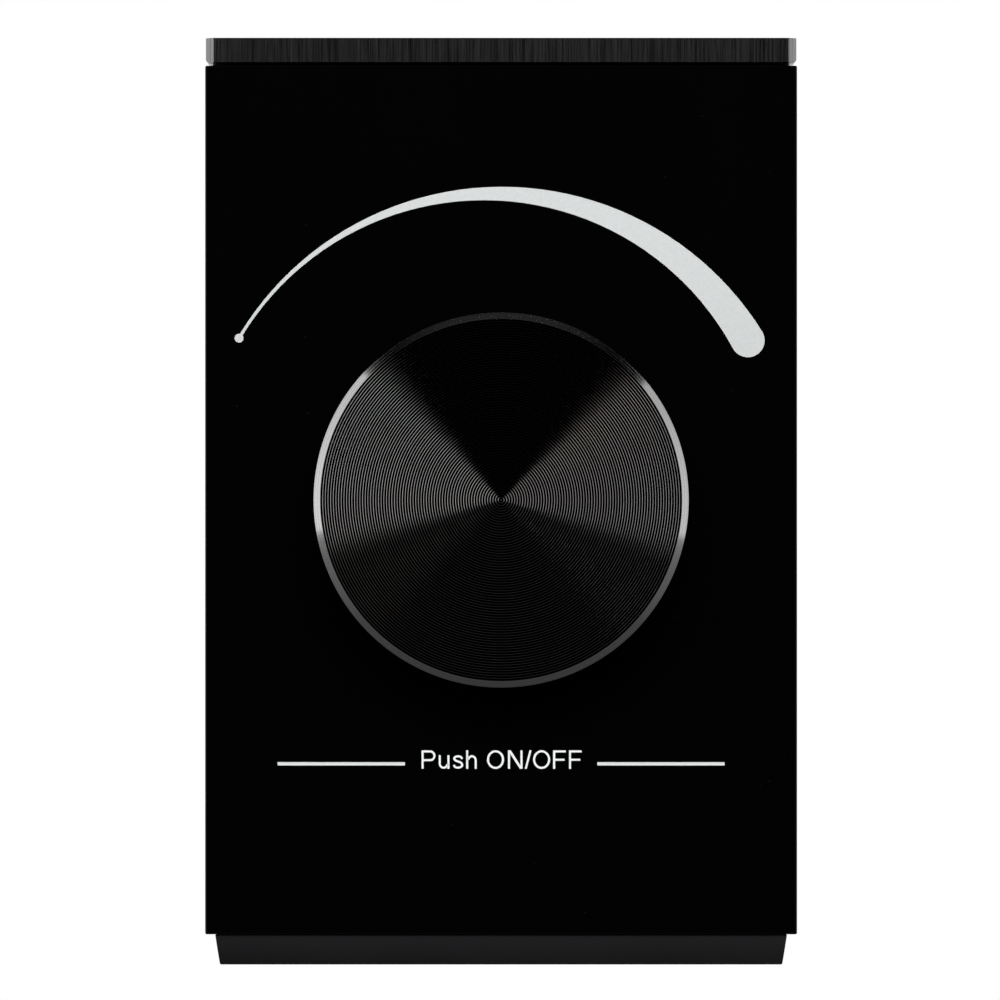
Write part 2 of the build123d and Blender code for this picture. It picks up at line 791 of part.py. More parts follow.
def make_encoder_rotor():
    rotor = rod(rotor_radius, rotor_front_y, rotor_back_y)
    rotor -= rod(rotor_recess_radius, rotor_front_y, rotor_recess_y)
    hole = double_flat(key_radius + key_clearance, key_flat + key_clearance, rotor_recess_y, rotor_back_y)
    rotor -= hole
    groove = block(rotor_radius, detent_width, rotor_back_y - detent_depth, rotor_back_y)
    groove = Pos(rotor_radius / 2 + detent_ring_inner - 0.2, 0, 0) * groove
    for index in range(rotor_detents):
        rotor -= Rot(0, index * 360 / rotor_detents, 0) * groove
    return rotor


def make_detent_spring():
    y_front = case_step_y - detent_ring_thickness
    ring = rod(detent_ring_outer, y_front, case_step_y) - rod(detent_ring_inner, y_front, case_step_y)
    gap = block(detent_ring_outer, detent_split, y_front, case_step_y, detent_ring_outer / 2 + 1.0, 0)
    ring -= gap
    # Two pressed bumps face the rotor's detent grooves
    bump_z = (detent_ring_outer + detent_ring_inner) / 2
    for side in (-1, 1):
        bump = Cone(detent_bump_radius, detent_bump_radius / 2, detent_bump_height)
        ring += Pos(0, y_front - detent_bump_height / 2, side * bump_z) * Rot(90, 0, 0) * bump
    return ring


def make_switch_plunger():
    disc = rod(plunger_radius, plunger_front_y, plunger_back_y)
    return chamfer(disc.edges(), plunger_edge_break)


def make_switch_dome():
    rise = case_floor_y - plunger_back_y
    outer = (dome_base_radius ** 2 + rise ** 2) / (2 * rise)
    centre = plunger_back_y + outer
    ball = Pos(0, centre, 0) * Sphere(outer)
    core = Pos(0, centre, 0) * Sphere(outer - dome_thickness)
    zone = rod(dome_base_radius + 0.5, plunger_back_y, case_floor_y)
    return (ball - core) & zone


def make_encoder_shaft():
    shaft = rod(shaft_radius, shaft_tip_y, ring_back_y)
    shaft += double_flat(key_radius, key_flat, ring_back_y, shaft_rear_y)
    collar = rod(shaft_radius, ring_front_y, ring_back_y) - rod(ring_groove_radius, ring_front_y, ring_back_y)
    shaft -= collar
    flat_end = shaft_tip_y + shaft_flat_length
    height = shaft_radius
    cut = block(2 * shaft_radius, height, shaft_tip_y, flat_end, 0, shaft_flat + height / 2)
    return shaft - cut


def make_shaft_ring():
    ring = rod(ring_radius, ring_front_y, ring_back_y) - rod(ring_groove_radius, ring_front_y, ring_back_y)
    gap = block(ring_radius, ring_split, ring_front_y, ring_back_y, ring_radius / 2 + 1.0, 0)
    return ring - gap


# Knob: turned shell, moulded hub and leaf spring
def make_knob_shell():
    inner = knob_radius - knob_wall
    return spin([
        (0, knob_front_y),
        (knob_radius - knob_chamfer, knob_front_y),
        (knob_radius, knob_front_y + knob_chamfer),
        (knob_radius, knob_back_y - knob_back_chamfer),
        (knob_radius - knob_back_chamfer, knob_back_y),
        (inner, knob_back_y),
        (inner, hub_front_y),
        (0, hub_front_y),
    ])


def make_knob_hub():
    outer = knob_radius - knob_wall - hub_clearance
    disc_back = hub_front_y + hub_disc_thickness
    hub = rod(outer, hub_front_y, disc_back)
    rim_back = disc_back + hub_rim_depth
    hub += rod(outer, disc_back, rim_back) - rod(outer - hub_rim_thickness, disc_back, rim_back)
    hub_back = knob_back_y - hub_back_gap
    hub += rod(hub_radius, disc_back, hub_back)
    span = outer - hub_rim_thickness / 2 - hub_radius + 1.0
    middle = hub_radius - 1.0 + span / 2
    rib = block(span, hub_rib_thickness, disc_back, disc_back + hub_rib_depth, middle, 0)
    for index in range(hub_ribs):
        hub += Rot(0, index * 360 / hub_ribs, 0) * rib
    seat = hub_front_y + shaft_seat_depth
    bore_radius = shaft_radius + hub_clearance
    bore = rod(bore_radius, seat, hub_back)
    flat_end = shaft_tip_y + shaft_flat_length - 0.5
    keep_z = shaft_flat + hub_clearance + clip_thickness
    keep = block(2 * bore_radius, bore_radius, seat, min(flat_end, hub_back), 0, keep_z + bore_radius / 2)
    return hub - (bore - keep)


def make_knob_clip():
    z = shaft_flat + hub_clearance + clip_thickness / 2
    y_front = shaft_tip_y + 0.4
    leaf = block(clip_width, clip_thickness, y_front, y_front + clip_length, 0, z)
    return leaf


# Parts on the power board
def on_board(height):
    """Front level of a part that stands on the power board."""
    return power_board_level - height


def make_transformer_core():
    front = on_board(core_depth)
    core = block(core_width, core_height, front, power_board_level, core_x, core_z)
    for side in (-1, 1):
        x = core_x + side * (core_leg + core_window) / 2
        core -= block(core_window, core_height - 2 * core_leg * 0.75, front, power_board_level, x, core_z)
    return core


def winding_height():
    return core_height - 1.5 * core_leg


def make_transformer_bobbin():
    front = on_board(bobbin_depth)
    height = winding_height() - 2 * winding_margin / 5
    frame = block(core_leg + 2 * core_window - 0.3, height, front, power_board_level, core_x, core_z)
    frame -= block(core_leg + 0.1, height, front, power_board_level, core_x, core_z)
    middle = height - 2 * bobbin_wall
    coil = block(core_leg + 2 * core_window, middle, front, power_board_level, core_x, core_z)
    coil -= block(core_leg + 0.1 + 2 * bobbin_wall, middle, front, power_board_level, core_x, core_z)
    return list((frame - coil).solids())


def make_transformer_winding():
    front = on_board(bobbin_depth) + winding_margin
    rear = power_board_level - winding_margin
    height = winding_height() - 2 * winding_margin / 5 - 2 * bobbin_wall
    wide = core_leg + 2 * core_window - 0.3 - 2 * winding_margin
    coil = block(wide, height, front, rear, core_x, core_z)
    coil -= block(core_leg + 0.1 + 2 * bobbin_wall, height, front, rear, core_x, core_z)
    return list(coil.solids())


def make_bulk_capacitors():
    solids = []
    front = on_board(capacitor_length)
    for z in capacitor_positions:
        can = rod(capacitor_radius, front, power_board_level, capacitor_x, z)
        can = fillet(can.edges().sort_by(Axis.Y)[0], 0.6)
        ring_y = power_board_level - capacitor_groove_level
        ring = Rot(90, 0, 0) * Torus(capacitor_radius, capacitor_groove_radius)
        solids.append(can - Pos(capacitor_x, ring_y, z) * ring)
    return solids


def make_filter_choke():
    front = on_board(choke_depth)
    ring = rod(choke_outer, front, power_board_level, choke_x, choke_z)
    ring -= rod(choke_inner, front, power_board_level, choke_x, choke_z)
    return fillet(ring.edges(), 0.8)


def make_line_fuse():
    front = on_board(fuse_height)
    body = rod(fuse_radius, front, power_board_level, fuse_x, fuse_z)
    return fillet(body.edges().sort_by(Axis.Y)[0], 0.5)


def transistor_places():
    return [transistor_x + side * transistor_pitch / 2 for side in (-1, 1)]


def make_heat_sink():
    front = on_board(sink_depth)
    plate = block(sink_length, sink_thickness, front, power_board_level, transistor_x, sink_z)
    fin_z = sink_z + sink_thickness / 2 + sink_fin_height / 2
    for index in range(sink_fins):
        x = transistor_x + (index - (sink_fins - 1) / 2) * sink_fin_pitch
        plate += block(sink_fin_thickness, sink_fin_height, front, power_board_level, x, fin_z)
    return plate


def make_dimming_transistors():
    solids = []
    front = on_board(transistor_height)
    tab_back = front + transistor_tab_length
    lead_front = power_board_level - transistor_lead_length
    lead_root = lead_front - transistor_lead_root
    tab_z = sink_z - sink_thickness / 2 - transistor_tab_thickness / 2
    body_z = sink_z - sink_thickness / 2 - transistor_body_thickness / 2
    for x in transistor_places():
        part = block(transistor_width, transistor_tab_thickness, front, tab_back, x, tab_z)
        body_front = front + transistor_body_drop
        part += block(transistor_width, transistor_body_thickness, body_front, lead_front, x, body_z)
        for lead in (-1, 0, 1):
            lead_x = x + lead * header_pitch
            part += block(transistor_lead, transistor_lead, lead_root, power_board_level, lead_x, body_z)
        solids.append(part)
    return solids


# Terminals
def pole_x():
    return [(index - (pole_count - 1) / 2) * pole_pitch for index in range(pole_count)]


terminal_rear_y = tub_depth - terminal_proud
entry_front_y = terminal_rear_y - entry_depth
clamp_rear_y = terminal_rear_y - clamp_setback
clamp_front_y = clamp_rear_y - clamp_depth
clamp_middle_y = (clamp_rear_y + clamp_front_y) / 2
terminal_low_z = terminal_z - terminal_height / 2
entry_z = terminal_z + entry_rise
screw_seat_z = terminal_low_z + terminal_screw_sink + terminal_screw_head_height


def make_terminal_block():
    body = block(pole_pitch * pole_count, terminal_height, power_back_y, terminal_rear_y, 0, terminal_z)
    mouth = Rectangle(entry_size + 2 * entry_funnel, entry_size + 2 * entry_funnel)
    funnel = extrude(Plane.XZ.offset(-terminal_rear_y) * mouth, amount=entry_funnel, taper=45)
    groove_front = terminal_rear_y - pole_groove_depth
    for index in range(1, pole_count):
        x = (index - pole_count / 2) * pole_pitch
        body -= block(pole_groove_width, terminal_height, groove_front, terminal_rear_y, x, terminal_z)
    for x in pole_x():
        body -= block(entry_size, entry_size, entry_front_y, terminal_rear_y, x, entry_z)
        body -= Pos(x, 0, entry_z) * funnel
        well_height = screw_seat_z - terminal_low_z
        well = Cylinder(terminal_screw_head_radius + screw_hole_clearance, well_height)
        body -= Pos(x, clamp_middle_y, terminal_low_z + well_height / 2) * well
        top = entry_z - entry_size / 2
        hole = Cylinder(terminal_screw_radius + screw_hole_clearance, top - screw_seat_z)
        body -= Pos(x, clamp_middle_y, (top + screw_seat_z) / 2) * hole
    return body


def make_terminal_clamps():
    solids = []
    size = entry_size - 2 * clamp_clearance
    for x in pole_x():
        cage = block(size, size, clamp_front_y, clamp_rear_y, x, entry_z)
        cage -= block(size - 2 * clamp_wall, size - 2 * clamp_wall, clamp_front_y, clamp_rear_y, x, entry_z)
        hole = Cylinder(terminal_screw_radius + seat_clearance, 2 * clamp_wall)
        low = entry_z - size / 2
        solids.append(cage - Pos(x, clamp_middle_y, low + clamp_wall / 2) * hole)
    return solids


def make_terminal_screws():
    solids = []
    for x in pole_x():
        z_head = terminal_low_z + terminal_screw_sink
        head = Cylinder(terminal_screw_head_radius, terminal_screw_head_height)
        screw_part = Pos(x, clamp_middle_y, z_head + terminal_screw_head_height / 2) * head
        z_tip = entry_z - terminal_screw_run
        shank = Cylinder(terminal_screw_radius, z_tip - screw_seat_z)
        screw_part += Pos(x, clamp_middle_y, (z_tip + screw_seat_z) / 2) * shank
        slot = Box(2 * terminal_screw_head_radius, screw_slot_width, 2 * screw_slot_depth)
        solids.append(screw_part - Pos(x, clamp_middle_y, z_head) * slot)
    return solids


pieces = {
    "front_glass": make_front_glass,
    "glass_adhesive": make_glass_adhesive,
    "scale_print": make_scale_print,
    "glass_carrier": make_glass_carrier,
    "top_rail": make_top_rail,
    "rail_screws": make_rail_screws,
    "base_housing": make_base_housing,
    "inner_cover": make_inner_cover,
    "cover_screws": make_cover_screws,
    "power_board": make_power_board,
    "control_board": make_control_board,
    "control_board_screws": make_control_board_screws,
    "controller_chip": make_controller_chip,
    "socket_strip": make_socket_strip,
    "header_block": make_header_block,
    "header_pins": make_header_pins,
    "encoder_case": make_encoder_case,
    "encoder_cover": make_encoder_cover,
    "encoder_bushing": make_encoder_bushing,
    "bushing_washer": make_bushing_washer,
    "bushing_nut": make_bushing_nut,
    "encoder_pins": make_encoder_pins,
    "encoder_rotor": make_encoder_rotor,
    "detent_spring": make_detent_spring,
    "switch_plunger": make_switch_plunger,
    "switch_dome": make_switch_dome,
    "encoder_shaft": make_encoder_shaft,
    "shaft_ring": make_shaft_ring,
    "knob_shell": make_knob_shell,
    "knob_hub": make_knob_hub,
    "knob_clip": make_knob_clip,
    "transformer_core": make_transformer_core,
    "transformer_bobbin": make_transformer_bobbin,
    "transformer_winding": make_transformer_winding,
    "bulk_capacitors": make_bulk_capacitors,
    "filter_choke": make_filter_choke,
    "line_fuse": make_line_fuse,
    "dimming_transistors": make_dimming_transistors,
    "heat_sink": make_heat_sink,
    "terminal_block": make_terminal_block,
    "terminal_clamps": make_terminal_clamps,
    "terminal_screws": make_terminal_screws,
}

os.makedirs("parts", exist_ok=True)
for name, make in pieces.items():
    made = make()
    if isinstance(made, (list, tuple)):
        made = Compound(children=[solid for solid in made])
    made.label = name
    export_step(made, os.path.join("parts", name + ".step"))
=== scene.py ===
import math

import bmesh
import bpy
from bpy.props import FloatProperty, FloatVectorProperty, IntProperty, PointerProperty
from mathutils import Matrix, Vector


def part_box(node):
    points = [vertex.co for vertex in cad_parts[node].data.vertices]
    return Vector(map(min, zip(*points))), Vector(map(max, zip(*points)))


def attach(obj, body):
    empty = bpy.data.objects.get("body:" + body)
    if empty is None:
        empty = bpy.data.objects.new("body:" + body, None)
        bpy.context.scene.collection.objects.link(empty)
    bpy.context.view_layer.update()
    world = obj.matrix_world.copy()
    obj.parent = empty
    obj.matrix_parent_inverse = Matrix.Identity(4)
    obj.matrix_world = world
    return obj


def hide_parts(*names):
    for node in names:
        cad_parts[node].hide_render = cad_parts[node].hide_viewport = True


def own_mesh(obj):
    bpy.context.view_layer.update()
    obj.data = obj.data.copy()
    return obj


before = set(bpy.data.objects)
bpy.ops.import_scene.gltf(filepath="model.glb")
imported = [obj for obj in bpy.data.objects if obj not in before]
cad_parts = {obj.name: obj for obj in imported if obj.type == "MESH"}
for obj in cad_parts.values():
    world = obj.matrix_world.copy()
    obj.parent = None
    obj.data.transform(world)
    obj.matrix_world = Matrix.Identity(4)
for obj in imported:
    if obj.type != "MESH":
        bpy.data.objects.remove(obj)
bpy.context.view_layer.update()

bl_info = {
    "name": "Rotary dimmer panel",
    "version": (1, 0, 0),
    "blender": (4, 5, 0),
    "location": "View3D > Sidebar > Dimmer",
    "description": "Finishes, turned knob, legend and studio for a glass wall dimmer",
    "category": "Object",
}

KNOB_LOW, KNOB_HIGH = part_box("knob_shell")
HUB_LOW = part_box("knob_hub")[0]
GLASS_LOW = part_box("front_glass")[0]
PRINT_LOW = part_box("scale_print")[0]
RAIL_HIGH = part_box("top_rail")[1]

# Where two finishes meet on one piece
RAIL_BEVEL = 0.00108
MASK_BLUR = 0.00001
FOOT_BLUR = 0.02

# Roughness of the knob's surfaces, and the fine marks of the tool per metre
FLOOR_ROUGH = (0.08, 0.11)
FLANK_ROUGH = 0.28
CHAMFER_ROUGH = 0.15
SIDE_ROUGH = 0.36
TOOL_MARKS = 9000.0
QUARTER_TURN = 0.25

# Rows of points in a ring, and how far its flank has dropped where it steepens
RING_ROWS = 4.0
FLANK_KNEE = 0.42

# Heights of the strips in the knob's map, as shares of one another
RISE_STRIP = 1.0
FLANK_STRIP = 2.5
FLOOR_STRIP = 2.5
BAND_STRIP = 16.0

# Points closer than this are made one
SEAM_GAP = 0.000002
DOUBLE_GAP = 0.000001

# Side softboxes: turn round the knob's axis in degrees, share of the width, share of the power
SIDE_BOXES = (("softbox right", 13.8, 0.97, 0.82), ("softbox left", 163.5, 1.02, 1.15))
SIDE_AWAY = 70.0
FRONT_TURN = 90.0
FRONT_AWAY = 26.0

# Lamps behind the front's plane, which reach only the sides, the top and the back: place and power
BACK_LIGHT = ("back light", (0.0, 0.9, 0.7), 12.0)
FILLS = (
    ("fill right", (0.8, 0.05, 0.1), 5.0),
    ("fill left", (-0.8, 0.05, 0.1), 5.0),
    ("fill top", (0.0, 0.1, 0.8), 4.0),
)
LAMP_SIZE = 0.8

# Floor: half its width, its middle behind the panel, and its light from the middle to the rim
FLOOR_HALF = 0.9
FLOOR_BACK = 1.4
FLOOR_FADE = (0.6, 1.0, 0.35, 0.8)

# Light of the room by direction: first and last level, then where the change starts and ends
FLOOR_GLOW = (0.031, 0.0, -0.6, -0.15)
LOW_GLOW = (0.028, 0.06, -1.0, -0.6)
SIDE_GLOW = (0.0, 0.15, -0.65, -0.25)
SIDE_FADE = (1.0, 0.0, 0.0, 0.5)
CEILING_GLOW = (0.0, 0.027, 0.8, 0.97)
PLANE_FADE = (0.0, 1.0, -0.25, 0.0)
WALL_FADE = (0.0, 1.0, 0.55, 0.85)
ROOM_LEVEL = 0.002
WALL_GREY = (0.45, 0.45, 0.45, 1.0)
WHITE = (1.0, 1.0, 1.0, 1.0)
BLACK = (0.0, 0.0, 0.0, 1.0)


def colour_property(name, description, default):
    """Colour the user may change, in linear values."""
    return FloatVectorProperty(
        name=name, description=description, default=default,
        size=3, min=0.0, max=1.0, subtype="COLOR")


def length_property(name, description, default):
    """Length the user may change, in metres."""
    return FloatProperty(
        name=name, description=description, default=default,
        precision=6, subtype="DISTANCE", unit="LENGTH")


def share_property(name, description, default, low=0.0, high=1.0):
    """Share of a length the user may change."""
    return FloatProperty(
        name=name, description=description, default=default, min=low, max=high, subtype="FACTOR")


class DimmerKnob(bpy.types.PropertyGroup):
    radius: length_property("Radius", "Outer radius of the knob", (KNOB_HIGH[0] - KNOB_LOW[0]) / 2)
    front: length_property("Front", "Level of the turned face", KNOB_LOW[1])
    back: length_property("Back", "Level of the rear edge", KNOB_HIGH[1])
    inside: length_property("Inside", "Level of the face's inner side", HUB_LOW[1])
    chamfer: length_property("Chamfer", "Width of the polished chamfer", 0.0009)
    back_chamfer: length_property("Back chamfer", "Edge break at the rear", 0.0004)
    wall: length_property("Wall", "Thickness of the side wall", 0.0016)
    travel: length_property("Travel", "Way the knob is pressed in", 0.001)
    ring_depth: length_property("Ring depth", "Depth of one turned ring", 0.0000415)
    rings: IntProperty(
        name="Rings", description="Turned rings from centre to chamfer", default=68, min=4)
    segments: IntProperty(
        name="Segments", description="Sides of the turned face", default=288, min=24)
    rise: share_property("Rise share", "Share of a ring that rises steeply", 0.04, 0.0, 0.2)
    flank: share_property("Flank share", "Share of a ring that slopes outwards", 0.19, 0.1, 0.8)


class DimmerLegend(bpy.types.PropertyGroup):
    left: length_property("Left", "Left end of the words", -0.01075)
    baseline: length_property("Baseline", "Level of the baseline", -0.03632)
    capital: length_property("Capital height", "Height of the capitals", 0.00249)
    stroke: share_property("Stroke", "Stroke width as a share of the capitals", 0.115)


class DimmerFinishes(bpy.types.PropertyGroup):
    glass: colour_property("Glass", "Black behind the glass", (0.001, 0.0009, 0.001))
    ink: colour_property("Ink", "Printed scale", (0.655, 0.678, 0.675))
    rules: colour_property("Rules", "Printed rules beside the legend", (0.81, 0.835, 0.835))
    words: colour_property("Words", "Printed legend", (0.94, 0.96, 0.96))
    knob: colour_property("Knob", "Black anodised turned metal", (0.008, 0.008, 0.008))
    side: colour_property("Side", "Satin side of the knob", (0.05, 0.05, 0.052))
    groove: colour_property("Groove", "Cut flank of a ring", (0.56, 0.56, 0.565))
    chamfer: colour_property("Chamfer", "Bright cut edge of the knob", (0.72, 0.72, 0.72))
    rail: colour_property("Rail", "Brushed black metal", (0.0074, 0.0074, 0.0078))
    bevel: colour_property("Bevel", "Bright cut ends of the rail", (0.4, 0.4, 0.405))
    housing: colour_property("Housing", "Matt moulding", (0.0135, 0.0135, 0.0147))
    steel: colour_property("Steel", "Plated steel", (0.55, 0.55, 0.56))
    brass: colour_property("Brass", "Contacts and bushing", (0.72, 0.55, 0.25))
    copper: colour_property("Copper", "Enamelled wire", (0.62, 0.25, 0.1))
    board: colour_property("Board", "Solder mask", (0.02, 0.12, 0.05))
    terminal: colour_property("Terminal", "Terminal moulding", (0.02, 0.22, 0.09))
    barrier: colour_property("Barrier", "Pale moulding", (0.55, 0.55, 0.53))


class DimmerStudio(bpy.types.PropertyGroup):
    distance: length_property("Camera distance", "From the lens to the front of the glass", 0.9)
    side: length_property("Camera side", "Camera's place across the panel", -0.00015)
    focal: FloatProperty(name="Focal length", description="In millimetres", default=239.76, min=1.0)
    box_distance: length_property("Softbox distance", "From the knob to a softbox", 1.0)
    side_power: FloatProperty(
        name="Side power", description="Power of each side softbox in watts", default=2.75)
    side_length: length_property(
        "Side length", "Side softbox, towards and away from the camera", 1.15)
    side_width: length_property("Side width", "Side softbox, up and down", 1.05)
    front_power: FloatProperty(
        name="Front power", description="Power of the front softbox in watts", default=8.7)
    front_length: length_property("Front length", "Front softbox, up and down", 0.42)
    front_width: length_property("Front width", "Front softbox, across", 0.6)
    floor: colour_property("Floor", "Pale floor", (0.75, 0.75, 0.74))
    floor_level: length_property("Floor level", "Height of the floor", -0.35)


# Small helpers for finishes


def start_finish(name, colour, roughness, metallic=0.0):
    """New finish with its constant values on the shader."""
    finish = bpy.data.materials.new(name)
    finish.use_nodes = True
    finish.diffuse_color = (*colour, 1.0)
    shader = finish.node_tree.nodes["Principled BSDF"]
    shader.inputs["Base Color"].default_value = (*colour, 1.0)
    shader.inputs["Roughness"].default_value = roughness
    shader.inputs["Metallic"].default_value = metallic
    return finish, finish.node_tree, shader


def feed(tree, socket, value):
    """Link a socket into another, or set a plain value."""
    if isinstance(value, bpy.types.NodeSocket):
        tree.links.new(value, socket)
    else:
        socket.default_value = value


def place_on_piece(tree, scale, turn=(0.0, 0.0, 0.0)):
    """Object coordinates, stretched per axis."""
    coordinate = tree.nodes.new("ShaderNodeTexCoord")
    mapping = tree.nodes.new("ShaderNodeMapping")
    mapping.inputs["Scale"].default_value = scale
    mapping.inputs["Rotation"].default_value = turn
    tree.links.new(coordinate.outputs["Object"], mapping.inputs["Vector"])
    return mapping.outputs["Vector"]


def piece_axes(tree):
    """Places along X, Y and Z on the piece, in metres."""
    split = tree.nodes.new("ShaderNodeSeparateXYZ")
    tree.links.new(place_on_piece(tree, (1.0, 1.0, 1.0)), split.inputs["Vector"])
    return split.outputs


def grain(tree, scale, detail=3.0, rough=0.55):
    """Noise of a given grain per axis, from 0 to 1."""
    noise = tree.nodes.new("ShaderNodeTexNoise")
    noise.inputs["Scale"].default_value = 1.0
    noise.inputs["Detail"].default_value = detail
    noise.inputs["Roughness"].default_value = rough
    tree.links.new(place_on_piece(tree, scale), noise.inputs["Vector"])
    return noise.outputs["Fac"]


def spread(tree, factor, low, high, start=0.3, end=0.7):
    """Map a factor to a range of numbers."""
    ranged = tree.nodes.new("ShaderNodeMapRange")
    tree.links.new(factor, ranged.inputs["Value"])
    ranged.inputs["From Min"].default_value = start
    ranged.inputs["From Max"].default_value = end
    ranged.inputs["To Min"].default_value = low
    ranged.inputs["To Max"].default_value = high
    return ranged.outputs["Result"]


def tint(tree, factor, dark, light, start=0.3, end=0.7):
    """Colour that runs from dark to light with a factor."""
    ramp = tree.nodes.new("ShaderNodeValToRGB")
    ramp.color_ramp.elements[0].position = start
    ramp.color_ramp.elements[1].position = end
    ramp.color_ramp.elements[0].color = (*dark, 1.0)
    ramp.color_ramp.elements[1].color = (*light, 1.0)
    tree.links.new(factor, ramp.inputs["Fac"])
    return ramp.outputs["Color"]


def join(tree, operation, first, second):
    """Join two numbers or factors."""
    node = tree.nodes.new("ShaderNodeMath")
    node.operation = operation
    feed(tree, node.inputs[0], first)
    feed(tree, node.inputs[1], second)
    return node.outputs["Value"]


def blend(tree, factor, first, second):
    """Blend two colours by a factor."""
    node = tree.nodes.new("ShaderNodeMix")
    node.data_type = "RGBA"
    feed(tree, node.inputs["Factor"], factor)
    feed(tree, node.inputs["A"], first)
    feed(tree, node.inputs["B"], second)
    return node.outputs["Result"]


def scaled(colour, share):
    """Darker or lighter version of a colour."""
    return tuple(min(1.0, part * share) for part in colour)


def relief(tree, shader, height, strength, depth, edge=0.0):
    """Bump from a height, over softened edges."""
    bump = tree.nodes.new("ShaderNodeBump")
    bump.inputs["Strength"].default_value = strength
    bump.inputs["Distance"].default_value = depth
    tree.links.new(height, bump.inputs["Height"])
    if edge:
        bevel = tree.nodes.new("ShaderNodeBevel")
        bevel.samples = 4
        bevel.inputs["Radius"].default_value = edge
        tree.links.new(bevel.outputs["Normal"], bump.inputs["Normal"])
    tree.links.new(bump.outputs["Normal"], shader.inputs["Normal"])


def light_path(tree):
    """Kinds of rays, and a factor for those that gloss or glass sends on."""
    path = tree.nodes.new("ShaderNodeLightPath").outputs
    return path, join(tree, "MAXIMUM", path["Is Glossy Ray"], path["Is Transmission Ray"])


def seen_rays(tree, strength):
    """Strength for rays that show the stage itself: camera, gloss and glass."""
    path, mirrored = light_path(tree)
    return join(tree, "MULTIPLY", join(tree, "MAXIMUM", path["Is Camera Ray"], mirrored), strength)


# Finishes of this panel


def glass_finish(colour):
    """Black glass with faint wiping marks and a little dust."""
    finish, tree, shader = start_finish("black glass", colour, 0.03)
    shader.inputs["IOR"].default_value = 1.5
    shader.inputs["Specular IOR Level"].default_value = 0.25
    wipe = grain(tree, (60.0, 60.0, 35.0), 4.0)
    tree.links.new(spread(tree, wipe, 0.025, 0.06), shader.inputs["Roughness"])
    specks = tree.nodes.new("ShaderNodeTexVoronoi")
    specks.inputs["Scale"].default_value = 1.0
    tree.links.new(place_on_piece(tree, (260.0, 260.0, 260.0)), specks.inputs["Vector"])
    dust = tint(tree, specks.outputs["Distance"], scaled(colour, 9.0), colour, 0.018, 0.03)
    tree.links.new(dust, shader.inputs["Base Color"])
    return finish


def ink_finish(name, colour, lower):
    """Screen-printed ink, a little uneven, with its own tone below the knob."""
    finish, tree, shader = start_finish(name, colour, 0.5)
    cover = grain(tree, (3000.0, 3000.0, 3000.0), 2.0)
    upper = tint(tree, cover, scaled(colour, 0.95), scaled(colour, 1.03))
    lower = tint(tree, cover, scaled(lower, 0.95), scaled(lower, 1.03))
    above = spread(tree, piece_axes(tree)["Z"], 0.0, 1.0, -0.001, 0.001)
    tree.links.new(blend(tree, above, lower, upper), shader.inputs["Base Color"])
    return finish


def turned_finish(colours, knob):
    """Black anodised metal whose ring flanks and chamfer are cut bright."""
    finish, tree, shader = start_finish("turned knob metal", colours.knob, 0.09, 1.0)
    reach = tree.nodes.new("ShaderNodeVectorMath")
    reach.operation = "LENGTH"
    tree.links.new(place_on_piece(tree, (1.0, 0.0, 1.0)), reach.inputs[0])
    reach = reach.outputs["Value"]
    level = piece_axes(tree)["Y"]
    tool = tree.nodes.new("ShaderNodeTexNoise")
    tool.noise_dimensions = "1D"
    tool.inputs["Scale"].default_value = TOOL_MARKS
    tool.inputs["Detail"].default_value = 1.0
    tree.links.new(reach, tool.inputs["W"])
    # Masks: the front with its chamfer, the flank of each ring, and the chamfer round the face
    edge = knob.radius - knob.chamfer
    brim = knob.front + knob.chamfer
    front = spread(tree, level, 1.0, 0.0, brim - MASK_BLUR, brim + MASK_BLUR)
    phase = join(tree, "FRACT", join(tree, "DIVIDE", reach, edge / (knob.rings + knob.rise)), 0.0)
    foot = knob.rise + knob.flank
    flank = spread(tree, phase, 1.0, 0.0, foot - FOOT_BLUR, foot + FOOT_BLUR)
    flank = join(tree, "MULTIPLY", flank, front)
    chamfer = spread(tree, reach, 0.0, 1.0, edge - MASK_BLUR, edge + MASK_BLUR)
    chamfer = join(tree, "MULTIPLY", chamfer, front)
    cut = tint(tree, tool.outputs["Fac"], scaled(colours.groove, 0.9), scaled(colours.groove, 1.1))
    shade = blend(tree, flank, (*colours.knob, 1.0), cut)
    shade = blend(tree, chamfer, shade, (*colours.chamfer, 1.0))
    tree.links.new(blend(tree, front, (*colours.side, 1.0), shade), shader.inputs["Base Color"])
    rough = spread(tree, tool.outputs["Fac"], *FLOOR_ROUGH)
    side = join(tree, "SUBTRACT", 1.0, front)
    for mask, worked in ((flank, FLANK_ROUGH), (chamfer, CHAMFER_ROUGH), (side, SIDE_ROUGH)):
        rough = join(tree, "MAXIMUM", rough, join(tree, "MULTIPLY", mask, worked))
    tree.links.new(rough, shader.inputs["Roughness"])
    # Tool marks run round the axis, so reflections spread across them
    round_axis = tree.nodes.new("ShaderNodeTangent")
    round_axis.direction_type = "RADIAL"
    round_axis.axis = "Y"
    tree.links.new(round_axis.outputs["Tangent"], shader.inputs["Tangent"])
    shader.inputs["Anisotropic"].default_value = 1.0
    shader.inputs["Anisotropic Rotation"].default_value = QUARTER_TURN
    return finish


def brushed_finish(name, colour, lines, roughness, contrast):
    """Metal brushed along the axis whose grain is coarse."""
    finish, tree, shader = start_finish(name, colour, roughness, 1.0)
    fine = grain(tree, lines, 4.0, 0.65)
    shade = tint(tree, fine, scaled(colour, 1.0 - contrast), scaled(colour, 1.0 + contrast))
    tree.links.new(shade, shader.inputs["Base Color"])
    dull = spread(tree, fine, roughness * 0.8, roughness * 1.25)
    tree.links.new(dull, shader.inputs["Roughness"])
    relief(tree, shader, fine, 0.25, 0.00002)
    return finish


